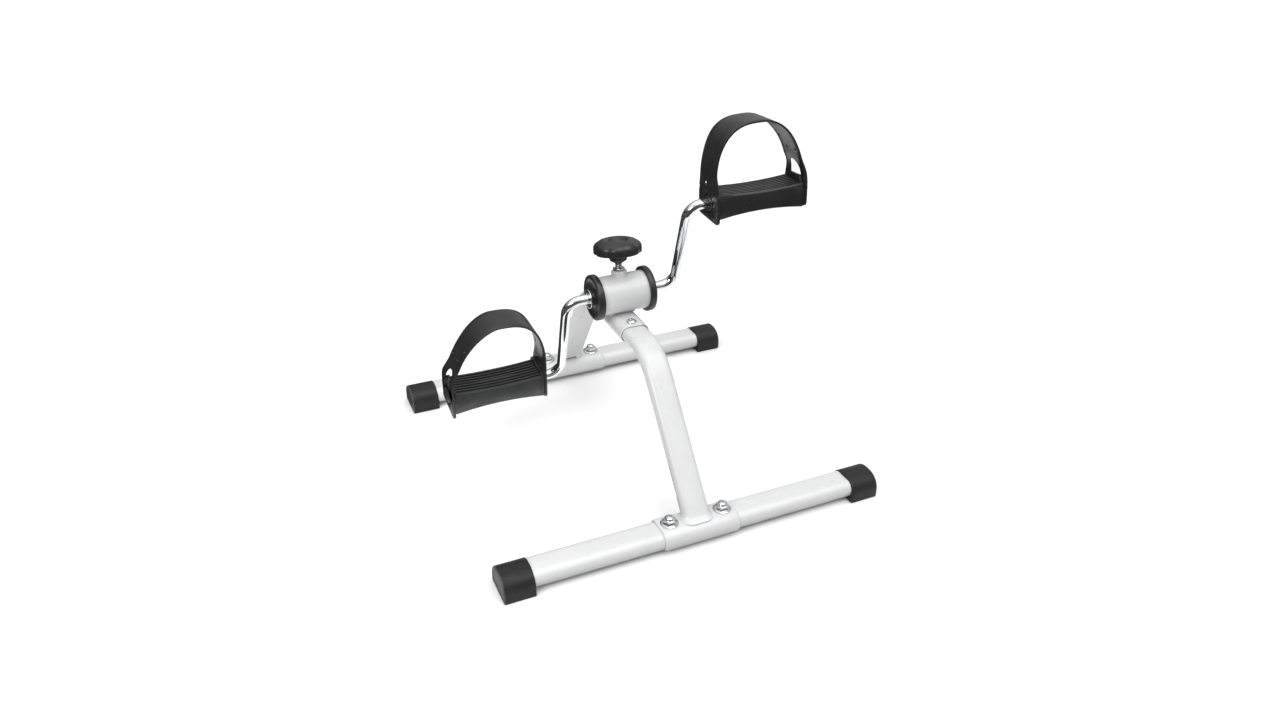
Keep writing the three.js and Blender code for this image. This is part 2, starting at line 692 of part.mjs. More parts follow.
// Foot strap: moulded band arched over the tread, with an end plate at each foot
function pedalStrap(outerPower) {
  const mid = STRAP_PEAK;
  const point = (a, inset) => {
    const c = Math.cos(a);
    const p = 2 / (c > 0 ? outerPower : STRAP_POWER_IN);
    const reach = c > 0 ? PEDAL_OUT - mid : mid - PEDAL_IN + STRAP_BULGE;
    const x = (reach - inset) * Math.abs(c) ** p;
    const z = (STRAP_HEIGHT - inset) * Math.sin(a) ** p;
    const foot = (c > 0 ? PEDAL_OUT - mid : mid - PEDAL_IN) - inset;
    return [mid + Math.sign(c) * THREE.MathUtils.lerp(x, foot, smooth(40, 18, z)), z];
  };
  const rings = [];
  const steps = 34;
  for (let i = 0; i <= steps; i += 1) {
    const a = 0.07 + ((Math.PI - 0.14) * i) / steps;
    const [xo, zo] = point(a, 0);
    const [xi, zi] = point(a, STRAP_BAND);
    const w = strapHalf(zo);
    rings.push([[xo, -w + 0.6, zo], [xo, w - 0.6, zo], [xi, w, zi], [xi, -w, zi]]);
  }
  const band = skin(rings, [[1, 0], [1, 1], [0, 1], [0, 0]]);
  const ends = [
    prismX(plateOutline(22, 18, -20, -16), PEDAL_IN, PEDAL_IN + STRAP_PLATE),
    prismX(plateOutline(22, 18, -14, -19.5), PEDAL_OUT - STRAP_PLATE, PEDAL_OUT),
  ];
  const windowOutline = [
    [12, 13.5], [12, 22], [11.3, 29], [9.5, 32.5], [6, 34.5], [1.5, 34.8], [-2.5, 33.6], [-5.5, 30.8],
    [-8, 27], [-9.8, 22], [-10.8, 17], [-1.5, 17], [1.5, 13.5],
  ];
  const cuts = [
    prismX(windowOutline, mid + 20, PEDAL_OUT + 5),
    cylinderX(10.5, PEDAL_IN - 1, PEDAL_OUT + 1, 24),
    cylinderX(3 + GAP, PEDAL_IN - 1, PEDAL_OUT + 1, 16).translate(0, -9, 12.5),
    box(PEDAL_IN - 2, PEDAL_IN + 8, 4, 11, 18.6, 22.4),
  ];
  for (const [y, z] of [[11, 60], [5, 48], [-12, 48]]) {
    cuts.push(cylinderX(2.1, mid + 10, PEDAL_OUT + 5, 12).translate(0, y, z));
  }
  cuts.push(cylinderX(2.1, PEDAL_IN - 5, mid - 10, 12).translate(0, -9, 44));
  return cut(join(band, ...ends), ...cuts);
}

// Flanged bush in one end of the spindle barrel
function pedalBush(outer) {
  const x0 = PEDAL_IN + STRAP_PLATE + GAP;
  const x1 = PEDAL_OUT - STRAP_PLATE - GAP;
  const bore = ROD_R + GAP;
  const [face, way] = outer ? [x1, -1] : [x0, 1];
  return revolveX(
    [[bore, face - way * 1.1], [9.8, face - way * 1.1], [9.8, face - way * GAP], [BUSH_R, face - way * GAP],
      [BUSH_R, face + way * 13.5], [bore, face + way * 13.5]],
    24,
  );
}

// Push-on cap over the end of the spindle
function spindleCap() {
  const start = PEDAL_OUT - STRAP_PLATE + 1.1;
  const end = ROD_END + GAP;
  const r = ROD_R + GAP;
  return revolveX(
    [[0, end], [r, end], [r, start], [8.6, start], [8.6, end + 0.4], [7.4, end + 1], [0, end + 1.4]],
    24,
  );
}

// Snap ring on the rod against the inner bush
function spindleRing() {
  const x = PEDAL_IN + STRAP_PLATE - 1 - 2 * GAP;
  const bore = ROD_R + GAP;
  return revolveX([[bore, x - 1.4], [8.8, x - 1.4], [8.8, x], [bore, x]], 24);
}

// One pedal: built for the right hand, turned about for the left, then tilted on its spindle
function addPedal(side, name, tilt, strapPower) {
  const lean = rad(CRANK_LEAN);
  const pieces = [
    ['pedal_body', pedalBody(), BLACK],
    ['pedal_strap', pedalStrap(strapPower), BLACK],
    ['pedal_bush_inner', pedalBush(false), NYLON],
    ['pedal_bush_outer', pedalBush(true), NYLON],
    ['spindle_cap', spindleCap(), NYLON],
    ['spindle_ring', spindleRing(), NYLON],
  ];
  for (const [part, geometry, material] of pieces) {
    if (side < 0) {
      geometry.rotateZ(Math.PI);
    }
    geometry.rotateX(rad(-tilt));
    const y = HUB_Y + side * CRANK_R * Math.sin(lean);
    const z = HUB_Z + side * CRANK_R * Math.cos(lean);
    geometry.translate(CRANK_SHIFT, y, z);
    add(`${part}_${name}`, geometry, material);
  }
}

// Frame
for (const [name, y] of [['front', -BAR_SPACING / 2], ['rear', BAR_SPACING / 2]]) {
  add(`foot_bar_${name}`, footBar(y), WHITE);
  add(`foot_cap_${name}_left`, footCap(y, -1), RUBBER);
  add(`foot_cap_${name}_right`, footCap(y, 1), RUBBER);
  add(`saddle_${name}`, saddlePlate(y), WHITE);
  for (const [hand, side] of [['left', -1], ['right', 1]]) {
    const x = side * SADDLE_BOLT_X;
    add(`saddle_bolt_${name}_${hand}`, saddleBolt().translate(x, y, 0), ZINC);
    add(`saddle_washer_${name}_${hand}`, saddleWasher().translate(x, y, 0), ZINC);
    add(`saddle_nut_${name}_${hand}`, saddleNut().translate(x, y, 0), ZINC);
  }
}
const frontBolt = SLEEVE_FRONT + SLEEVE_BOLT_INSET;
const rearBolt = SLEEVE_REAR - SLEEVE_BOLT_INSET;
add('front_post', bentLeg(10, POST_CORNER, -BAR_SPACING / 2, frontBolt), WHITE);
add('rear_leg', bentLeg(14, LEG_CORNER, BAR_SPACING / 2, rearBolt), WHITE);
add('leg_sleeve', sleeve(), WHITE);
for (const [name, y] of [['front', frontBolt], ['rear', rearBolt]]) {
  add(`sleeve_bolt_${name}`, sleeveBolt().translate(0, y, 0), CHROME);
  add(`sleeve_nut_${name}`, sleeveNut().translate(0, y, 0), ZINC);
}

// Hub and friction brake
add('hub_tube', hubTube(), WHITE);
for (const [hand, side] of [['left', -1], ['right', 1]]) {
  add(`hub_cap_${hand}`, hubCap(side), BLACK);
  add(`hub_bush_${hand}`, hubBush(side), NYLON);
  add(`rod_ring_${hand}`, rodRing(side), CHROME);
}
add('brake_drum', brakeDrum(), STEEL);
add('brake_pad', brakePad(), FELT);
add('pressure_shoe', pressureShoe(), STEEL);
add('tension_boss', tensionBoss(), WHITE);
add('jam_nut', jamNut(), ZINC);
add('tension_screw', tensionScrew(), STEEL);
add('tension_knob', knob(), BLACK);
add('knob_insert', knobInsert(), BLACK);

// Crank and pedals
add('crank_rod', crankRod(), CHROME);
addPedal(-1, 'left', LEFT_TILT, LEFT_STRAP_POWER);
addPedal(1, 'right', RIGHT_TILT, RIGHT_STRAP_POWER);

export default root;
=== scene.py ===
"""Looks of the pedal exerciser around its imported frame.

Lengths are in millimetres in the row frame until a piece is built, which scales it to metres.
"""

import json
import math

import bmesh
import bpy
from mathutils import Matrix, Vector

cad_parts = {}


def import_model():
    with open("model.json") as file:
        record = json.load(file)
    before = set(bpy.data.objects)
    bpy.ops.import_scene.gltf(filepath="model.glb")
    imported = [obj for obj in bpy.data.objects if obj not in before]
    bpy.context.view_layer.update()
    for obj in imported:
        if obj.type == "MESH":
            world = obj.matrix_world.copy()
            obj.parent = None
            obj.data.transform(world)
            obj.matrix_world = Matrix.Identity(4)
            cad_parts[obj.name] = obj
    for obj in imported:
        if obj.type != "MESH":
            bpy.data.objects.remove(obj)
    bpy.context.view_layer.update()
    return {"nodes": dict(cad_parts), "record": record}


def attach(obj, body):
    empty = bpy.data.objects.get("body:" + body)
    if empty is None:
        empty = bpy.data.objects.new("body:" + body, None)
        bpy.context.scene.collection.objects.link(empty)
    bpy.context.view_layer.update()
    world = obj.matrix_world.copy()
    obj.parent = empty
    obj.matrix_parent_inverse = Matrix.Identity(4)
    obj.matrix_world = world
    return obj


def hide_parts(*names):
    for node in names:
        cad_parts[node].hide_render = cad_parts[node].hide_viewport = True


MM = 0.001

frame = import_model()

# ---------------------------------------------------------------- sizes, as in the CAD model
GAP = 0.3
BAR_LENGTH = 430.0
BAR_Y = 186.0
BAR_WIDE, BAR_THICK, BAR_Z = 35.0, 20.0, 14.0
CAP_WIDE, CAP_TOP, CAP_LENGTH, CAP_END = 41.0, 26.4, 33.0, 3.0
SADDLE_LENGTH, SADDLE_PLATE = 86.0, 2.0
SADDLE_TOP = BAR_Z + BAR_THICK / 2 + GAP + SADDLE_PLATE
SADDLE_BOLT_X, SADDLE_BOLT_R = 30.5, 3.7
WASHER_R, WASHER_THICK = 9.6, 1.5
CAP_NUT_WIDE, CAP_NUT_HEX, CAP_NUT_HIGH, CAP_NUT_DOME = 12.0, 4.1, 7.5, 5.2
LEG_WIDE, LEG_THICK, LEG_BEND = 30.5, 15.5, 60.0
LEG_WELD, LEG_FOOT = 2.4, 11.0
SLEEVE_WALL, SLEEVE_FRONT, SLEEVE_REAR = 1.6, -28.0, 52.0
SLEEVE_BOLT_INSET, SLEEVE_BOLT_R, SLEEVE_BOLT_HEAD, SLEEVE_BOLT_HIGH = 9.0, 3.0, 5.6, 3.15
POST_START, POST_CORNER = 10.0, -73.5
LEG_START, LEG_CORNER = 14.0, 95.0
HUB_Y, HUB_Z, HUB_R, HUB_HALF, HUB_WALL = 12.0, 195.0, 21.5, 31.0, 2.2
HUB_CAP_R, HUB_CAP_IN, HUB_CAP_OUT = 25.6, 27.0, 34.5
RING_R = 11.0
ROD_R, ROD_BEND, ROD_END = 5.6, 16.0, 197.1
CRANK_R, CRANK_LEAN, CRANK_SHIFT, ARM_X = 107.5, -16.6, 1.2, 64.5
TENSION_LEAN = 8.5
SCREW_R, THREAD_PITCH = 4.0, 1.25
SCREW_TIP, BOSS_TOP, BOSS_WIDE, BOSS_TURN = 211.4, 221.6, 15.6, 42.0
JAM_TOP, JAM_WIDE, JAM_TURN = 224.4, 13.0, 15.0
KNOB_BOSS, KNOB_LOW, KNOB_R = 230.0, 241.8, 26.2
KNOB_LOBE, KNOB_LOBES, KNOB_PHASE = 0.5, 8, 202.0
INSERT_R, INSERT_TOP = 9.6, 254.6
PEDAL_IN, PEDAL_OUT = 88.0, 198.0
STRAP_PLATE, STRAP_BAND, STRAP_HEIGHT, STRAP_PEAK = 3.0, 2.3, 86.5, 140.0
STRAP_POWER_IN, STRAP_BULGE = 3.0, 2.2
STRAP_POWER_OUT = {"left": 1.74, "right": 2.06}
STRAP_HALF, STRAP_WAIST, STRAP_BASE = 20.0, 17.5, 22.0
HOOK_HOLE_R, SPINDLE_HOLE_R, PLATE_HOLE_R = 2.1, 10.5, 3.3
OUTER_HOOK_HOLES = ((11, 60), (5, 48), (-12, 48))
INNER_HOOK_HOLE = (-9, 44)
PLATE_HOLE = (-9, 12.5)
TILT = {"left": -3.5, "right": 3.5}
SIDES = (("left", -1), ("right", 1))
ENDS = (("front", -BAR_Y), ("rear", BAR_Y))
SLEEVE_THICK = LEG_THICK + 2 * GAP + 2 * SLEEVE_WALL
SLEEVE_Z = HUB_Z - HUB_R - GAP - SLEEVE_THICK / 2


# ---------------------------------------------------------------- mesh helpers
class Shape:
    """Points and faces of one piece, built up from simple bodies."""

    def __init__(self):
        self.points, self.faces = [], []

    def add(self, points, faces):
        base = len(self.points)
        self.points += [tuple(p) for p in points]
        self.faces += [tuple(base + i for i in f) for f in faces]
        return self

    def moved(self, matrix):
        self.points = [tuple(matrix @ Vector(p)) for p in self.points]
        return self


def skin(rings, caps=True, loop=False):
    """Rings of equal count joined by quads; the two ends are filled, left open or joined in a loop."""
    count = len(rings[0])
    points = [p for ring in rings for p in ring]
    faces = []
    spans = len(rings) if loop else len(rings) - 1
    for i in range(spans):
        a, b = i * count, ((i + 1) % len(rings)) * count
        for j in range(count):
            k = (j + 1) % count
            faces.append((a + j, b + j, b + k, a + k))
    if caps and not loop:
        last = (len(rings) - 1) * count
        faces.append(tuple(range(count)))
        faces.append(tuple(last + j for j in reversed(range(count))))
    return points, faces


def revolve(profile, steps=64, axis="Z", centre=(0, 0, 0), loop=None):
    """A (radius, height) profile turned about an axis. It closes on itself, or ends on the axis."""
    points, faces, rows = [], [], []
    for r, h in profile:
        row = []
        for i in range(steps if r > 1e-6 else 1):
            a = 2 * math.pi * i / steps
            u, v = r * math.cos(a), r * math.sin(a)
            p = (h, u, v) if axis == "X" else (u, v, h)
            row.append(len(points))
            points.append((p[0] + centre[0], p[1] + centre[1], p[2] + centre[2]))
        rows.append(row)
    if loop is None:
        loop = profile[0][0] > 1e-6
    for i in range(len(rows) - (0 if loop else 1)):
        low, high = rows[i], rows[(i + 1) % len(rows)]
        for j in range(steps):
            k = (j + 1) % steps
            if len(low) > 1 and len(high) > 1:
                faces.append((low[j], low[k], high[k], high[j]))
            elif len(low) > 1:
                faces.append((low[j], low[k], high[0]))
            elif len(high) > 1:
                faces.append((low[0], high[k], high[j]))
    return points, faces


def rounded(profile, radius, steps=3):
    """The same outline with each of its corners rounded off."""
    out = []
    n = len(profile)
    for i, p in enumerate(profile):
        here = Vector(p)
        before, after = Vector(profile[i - 1]) - here, Vector(profile[(i + 1) % n]) - here
        r = min(radius, 0.45 * before.length, 0.45 * after.length)
        if r < 1e-4 or before.angle(after, math.pi) > math.radians(170):
            out.append(p)
            continue
        a, b = here + before.normalized() * r, here + after.normalized() * r
        for s in range(steps + 1):
            t = s / steps
            q = a * (1 - t) ** 2 + here * 2 * t * (1 - t) + b * t * t
            out.append(tuple(q))
    return out


def flat_oval(wide, thick, steps=14):
    r = thick / 2
    flat = wide / 2 - r
    return [
        (side * (flat + r * math.cos(a)), side * r * math.sin(a))
        for side in (1, -1)
        for a in (math.pi * (i / steps - 0.5) for i in range(steps + 1))
    ]


def hexagon(across, turn=0.0):
    r = across / math.sqrt(3)
    corners = [math.radians(60 * i + turn) for i in range(6)]
    return [(r * math.cos(a), r * math.sin(a)) for a in corners]


def smooth_step(a, b, v):
    t = min(max((v - a) / (b - a), 0.0), 1.0)
    return t * t * (3 - 2 * t)


def finish_mesh(obj, material, angle):
    mesh = obj.data
    bm = bmesh.new()
    bm.from_mesh(mesh)
    bmesh.ops.remove_doubles(bm, verts=bm.verts, dist=1e-6)
    bmesh.ops.recalc_face_normals(bm, faces=bm.faces)
    bm.to_mesh(mesh)
    bm.free()
    mesh.materials.clear()
    mesh.materials.append(material)
    mesh.shade_smooth()
    mesh.set_sharp_from_angle(angle=math.radians(angle))


def bake_modifiers(obj):
    """Applies the modifiers, so that the piece is one plain mesh."""
    graph = bpy.context.evaluated_depsgraph_get()
    mesh = bpy.data.meshes.new_from_object(obj.evaluated_get(graph))
    obj.modifiers.clear()
    obj.data = mesh


def bevel(obj, width, angle=40, segments=2):
    mod = obj.modifiers.new("edges", "BEVEL")
    mod.width = width * MM
    mod.segments = segments
    mod.limit_method = "ANGLE"
    mod.angle_limit = math.radians(angle)
    mod.use_clamp_overlap = True
    mod.harden_normals = False
    bake_modifiers(obj)


def carve(obj, cutters):
    """Cuts bodies out of a piece."""
    for points, faces in cutters:
        tool = raw_object("cutter", points, faces)
        mod = obj.modifiers.new("cut", "BOOLEAN")
        mod.operation = "DIFFERENCE"
        mod.solver = "EXACT"
        mod.object = tool
        bake_modifiers(obj)
        bpy.data.objects.remove(tool)


def raw_object(name, points, faces):
    mesh = bpy.data.meshes.new(name)
    mesh.from_pydata([Vector(p) * MM for p in points], [], faces)
    bm = bmesh.new()
    bm.from_mesh(mesh)
    bmesh.ops.recalc_face_normals(bm, faces=bm.faces)
    bm.to_mesh(mesh)
    bm.free()
    obj = bpy.data.objects.new(name, mesh)
    bpy.context.scene.collection.objects.link(obj)
    return obj


def piece(name, shape, body, look, replaced=(), cuts=(), edge=0.0, angle=35, edge_angle=40):
    """A finished piece: built, cut, its edges eased, shaded and handed to its body."""
    obj = raw_object(name, shape.points, shape.faces)
    carve(obj, cuts)
    if edge:
        bevel(obj, edge, edge_angle)
    slot, material = look
    finish_mesh(obj, material, angle)
    if replaced:
        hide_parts(*replaced)
    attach(obj, body)
    return obj


def refined(node, body, look, edge, angle=35, edge_angle=30, segments=2):
    """A CAD node's own shape with its edges eased."""
    source = frame["nodes"][node]
    mesh = source.data.copy()
    obj = bpy.data.objects.new(node + "_eased", mesh)
    bpy.context.scene.collection.objects.link(obj)
    bm = bmesh.new()
    bm.from_mesh(mesh)
    bmesh.ops.remove_doubles(bm, verts=bm.verts, dist=2e-6)
    bmesh.ops.dissolve_limit(bm, angle_limit=math.radians(0.6), verts=bm.verts, edges=bm.edges)
    bm.to_mesh(mesh)
    bm.free()
    bevel(obj, edge, edge_angle, segments)
    slot, material = look
    finish_mesh(obj, material, angle)
    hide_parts(node)
    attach(obj, body)
    return obj


# ---------------------------------------------------------------- materials
class Look:
    """A node material with the coordinates of the row frame, in metres."""

    def __init__(self, name, roughness, metallic=0.0, **sockets):
        self.material = bpy.data.materials.new(name)
        self.material.use_nodes = True
        tree = self.material.node_tree
        self.nodes, self.links = tree.nodes, tree.links
        self.shader = self.nodes["Principled BSDF"]
        self.shader.inputs["Metallic"].default_value = metallic
        self.shader.inputs["Roughness"].default_value = roughness
        for socket, value in sockets.items():
            self.shader.inputs[socket.replace("_", " ")].default_value = value
        self.coords = self.nodes.new("ShaderNodeTexCoord").outputs["Object"]

    def noise(self, scale, detail=3.0, rough=0.55, stretch=None):
        node = self.nodes.new("ShaderNodeTexNoise")
        node.inputs["Scale"].default_value = scale
        node.inputs["Detail"].default_value = detail
        node.inputs["Roughness"].default_value = rough
        source = self.coords
        if stretch:
            mapping = self.nodes.new("ShaderNodeMapping")
            mapping.inputs["Scale"].default_value = stretch
            self.links.new(self.coords, mapping.inputs["Vector"])
            source = mapping.outputs["Vector"]
        self.links.new(source, node.inputs["Vector"])
        return node.outputs["Fac"]

    def cells(self, scale):
        node = self.nodes.new("ShaderNodeTexVoronoi")
        node.inputs["Scale"].default_value = scale
        self.links.new(self.coords, node.inputs["Vector"])
        return node.outputs["Distance"]

    def ramp(self, source, low, high, start=0.3, end=0.7):
        """A grey or coloured ramp between two values, as colours."""
        node = self.nodes.new("ShaderNodeValToRGB")
        for element, place, tone in zip(node.color_ramp.elements, (start, end), (low, high)):
            element.position = place
            element.color = (*tone, 1)
        self.links.new(source, node.inputs["Fac"])
        return node.outputs["Color"]

    def spread(self, source, low, high, start=0.3, end=0.7):
        """A plain number between two values."""
        node = self.nodes.new("ShaderNodeMapRange")
        node.inputs["From Min"].default_value = start
        node.inputs["From Max"].default_value = end
        node.inputs["To Min"].default_value = low
        node.inputs["To Max"].default_value = high
        self.links.new(source, node.inputs["Value"])
        return node.outputs["Result"]

    def end_faces(self, start, full):
        """How far out along X a point is, from 0 at the first distance in mm to 1 at the second."""
        split = self.nodes.new("ShaderNodeSeparateXYZ")
        self.links.new(self.coords, split.inputs[0])
        size = self.nodes.new("ShaderNodeMath")
        size.operation = "ABSOLUTE"
        self.links.new(split.outputs["X"], size.inputs[0])
        return self.spread(size.outputs[0], 0.0, 1.0, start * MM, full * MM)

    def mix(self, factor, a, b):
        node = self.nodes.new("ShaderNodeMix")
        node.data_type = "RGBA"
        self.links.new(factor, node.inputs["Factor"])
        self.links.new(a, node.inputs[6])
        self.links.new(b, node.inputs[7])
        return node.outputs[2]

    def colour(self, source):
        self.links.new(source, self.shader.inputs["Base Color"])
        return self

    def roughness(self, source):
        self.links.new(source, self.shader.inputs["Roughness"])
        return self

    def bump(self, *layers):
        """Layers of (height, strength, depth in mm), each on top of the one before."""
        normal = None
        for height, strength, depth in layers:
            node = self.nodes.new("ShaderNodeBump")
            node.inputs["Strength"].default_value = strength
            node.inputs["Distance"].default_value = depth * MM
            self.links.new(height, node.inputs["Height"])
            if normal:
                self.links.new(normal, node.inputs["Normal"])
            normal = node.outputs["Normal"]
        self.links.new(normal, self.shader.inputs["Normal"])
        return self


def grey(v, warm=0.0):
    return (v * (1 + warm), v, v * (1 - warm))


def white_paint():
    look = Look("powder_coat_white", 0.3, Coat_Weight=0.35, Coat_Roughness=0.18)
    look.colour(look.ramp(look.noise(38, 4), grey(0.635, -0.004), grey(0.67, -0.002)))
    look.roughness(look.spread(look.noise(160, 3), 0.26, 0.38))
    look.bump((look.noise(420, 2, 0.4), 0.12, 0.25), (look.noise(1500, 2), 0.06, 0.08))
    return look.material


def chrome():
    look = Look("chrome_plate", 0.05, 1.0)
    look.colour(look.ramp(look.noise(70, 4), grey(0.74, -0.01), grey(0.82, -0.006)))
    look.roughness(look.spread(look.noise(240, 4, 0.7), 0.035, 0.11))
    look.bump((look.noise(90, 3), 0.05, 0.4), (look.noise(900, 3, 0.7), 0.03, 0.05))
    return look.material


def zinc():
    look = Look("zinc_plate", 0.25, 1.0)
    look.colour(look.ramp(look.noise(300, 4, 0.7), grey(0.52, -0.01), grey(0.70, -0.004)))
    look.roughness(look.spread(look.noise(600, 4), 0.08, 0.2))
    look.bump((look.noise(1200, 3), 0.12, 0.06))
    return look.material


def turned_steel():
    look = Look("turned_steel", 0.3, 1.0)
    look.colour(look.ramp(look.noise(400, 4), grey(0.5, 0.0), grey(0.68, 0.0)))
    look.roughness(look.spread(look.noise(700, 3), 0.16, 0.3))
    look.bump((look.noise(60, 3, 0.5, (1, 1, 60)), 0.15, 0.06))
    return look.material


def black_plastic():
    look = Look("moulded_black", 0.34, Specular_IOR_Level=0.5)
    look.colour(look.ramp(look.noise(55, 5, 0.6), grey(0.014, -0.02), grey(0.022, -0.02)))
    look.roughness(look.spread(look.noise(130, 5, 0.7), 0.26, 0.4))
    look.bump((look.cells(1700), 0.16, 0.07), (look.noise(3200, 3), 0.12, 0.04))
    return look.material


def rubber():
    look = Look("moulded_rubber", 0.7, Specular_IOR_Level=0.32)
    skin_tone = look.ramp(look.noise(90, 6, 0.75), grey(0.008, -0.01), grey(0.015, -0.01))
    # Painted highlight: the end faces are painted lighter than the rest of the cap, standing in for the
    # light that falls on them.
    painted_end_highlight = look.ramp(look.noise(260, 6, 0.8), grey(0.04, -0.01), grey(0.12, -0.01))
    ends = look.end_faces(BAR_LENGTH / 2 - 2.2, BAR_LENGTH / 2 - 0.6)
    look.colour(look.mix(ends, skin_tone, painted_end_highlight))
    look.roughness(look.spread(look.noise(210, 5, 0.7), 0.4, 0.58))
    look.bump((look.noise(1300, 4, 0.7), 0.25, 0.09), (look.noise(120, 3), 0.08, 0.4))
    return look.material


def dark_nylon():
    look = Look("bearing_nylon", 0.38)
    look.colour(look.ramp(look.noise(120, 4), grey(0.02), grey(0.032)))
    look.roughness(look.spread(look.noise(300, 3), 0.32, 0.46))
    look.bump((look.noise(900, 3), 0.08, 0.05))
    return look.material


def friction_pad():
    look = Look("friction_felt", 0.9)
    fibres = look.noise(700, 6, 0.8, (1, 3, 1))
    look.colour(look.ramp(fibres, (0.16, 0.11, 0.07), (0.34, 0.26, 0.17)))
    look.roughness(look.spread(look.noise(500, 3), 0.8, 0.97))
    look.bump((look.noise(1400, 5, 0.8), 0.6, 0.2))
    return look.material


WHITE = ("white_paint", white_paint())
CHROME = ("chrome", chrome())
ZINC = ("zinc", zinc())
STEEL = ("steel", turned_steel())
BLACK = ("black_plastic", black_plastic())
RUBBER = ("rubber", rubber())
NYLON = ("nylon", dark_nylon())
FELT = ("friction_pad", friction_pad())
LOOKS = dict([WHITE, CHROME, ZINC, STEEL, BLACK, RUBBER, NYLON, FELT])

for entry in frame["record"]["subparts"]:
    node = frame["nodes"][entry["node"]]
    node.data.materials.clear()
    node.data.materials.append(LOOKS[entry["material_slot"]])
    node.data.shade_smooth()
    node.data.set_sharp_from_angle(angle=math.radians(30))


# ---------------------------------------------------------------- foot bars, caps and saddles
def foot_bar(name, y):
    end = BAR_LENGTH / 2 - CAP_END - GAP
    outline = flat_oval(BAR_WIDE, BAR_THICK, 16)
    stations = [-end + 2 * end * i / 24 for i in range(25)]
    rings = [[(x, y + u, BAR_Z + v) for u, v in outline] for x in stations]
    piece(f"bar_{name}", Shape().add(*skin(rings)), "frame", WHITE, [f"foot_bar_{name}"])


def cap_outline(shrink=0.0, steps=40):
    half, top, shoulder = CAP_WIDE / 2, CAP_TOP, 7.0
    run = [(-half + 1.2, 0.0), (half - 1.2, 0.0), (half - 0.35, 0.45), (half, 1.6)]
    for i in range(steps + 1):
        a = math.pi * i / steps
        c, s = math.cos(a), math.sin(a)
        run.append((half * math.copysign(abs(c) ** 0.84, c), shoulder + (top - shoulder) * s ** 0.84))
    run += [(-half, 1.6), (-half + 0.35, 0.45)]
    if not shrink:
        return run
    mid = top / 2
    return [(u * (1 - 2 * shrink / CAP_WIDE), mid + (v - mid) * (1 - 2 * shrink / top)) for u, v in run]


def foot_cap(name, y, hand, side):
    """Moulded cap: lipped mouth round the bar, eased edges and a rimmed, slightly sunk end face."""
    end = BAR_LENGTH / 2
    mouth = end - CAP_LENGTH
    socket = [(u, BAR_Z + v) for u, v in flat_oval(BAR_WIDE + 2 * GAP, BAR_THICK + 2 * GAP, 20)]

    def ring(points, x):
        return [(side * x, y + u, v) for u, v in points]

    outside = [(mouth, 0.9), (mouth + 0.25, 0.25), (mouth + 0.9, 0.0)]
    outside += [(mouth + 5 + 2 * i, 0.0) for i in range(12)]
    outside += [(end - 1.5, 0.0), (end - 0.9, 0.2), (end - 0.35, 0.75), (end, 1.7)]
    outside += [(end, 2.6), (end - 0.25, 3.1), (end - 0.7, 3.4), (end - 0.8, 4.4)]
    rings = [ring(cap_outline(inset), x) for x, inset in outside]
    shape = Shape().add(*skin(rings))
    hole = skin([ring(socket, mouth - 1), ring(socket, end - CAP_END)])
    node = f"foot_cap_{name}_{hand}"
    piece(f"cap_{name}_{hand}", shape, "frame", RUBBER, [node], cuts=[hole], angle=32)


def saddle(name, y):
    """Plate bent over a foot bar, thinned to a feathered edge at both ends."""
    flat = (BAR_WIDE - BAR_THICK) / 2
    inner = BAR_THICK / 2 + GAP
    steps = 20

    def arc(r, start, stop, centre):
        turns = [math.radians(start + (stop - start) * i / steps) for i in range(steps + 1)]
        return [(y + centre + r * math.cos(a), BAR_Z + r * math.sin(a)) for a in turns]

    half = SADDLE_LENGTH / 2
    stations = [(half, 0.7), (half - 0.35, 1.25), (half - 0.9, 1.7)]
    stations += [(half - 1.7, SADDLE_PLATE), (half / 3, SADDLE_PLATE)]
    rings = []
    for x, thick in [(-x, t) for x, t in stations] + stations[::-1]:
        outer = inner + thick
        outline = arc(outer, -38, 90, flat) + arc(outer, 90, 218, -flat)
        outline += arc(inner, 218, 90, -flat) + arc(inner, 90, -38, flat)
        rings.append([(x, u, v) for u, v in outline])
    piece(f"plate_{name}", Shape().add(*skin(rings)), "frame", WHITE, [f"saddle_{name}"], angle=50)


def hex_ring(across, z, inset=0.0, turn=0.0, corner=0.5):
    """A level hexagon with eased corners."""
    return [(u, v, z) for u, v in rounded(hexagon(across - 2 * inset, turn), corner, 2)]


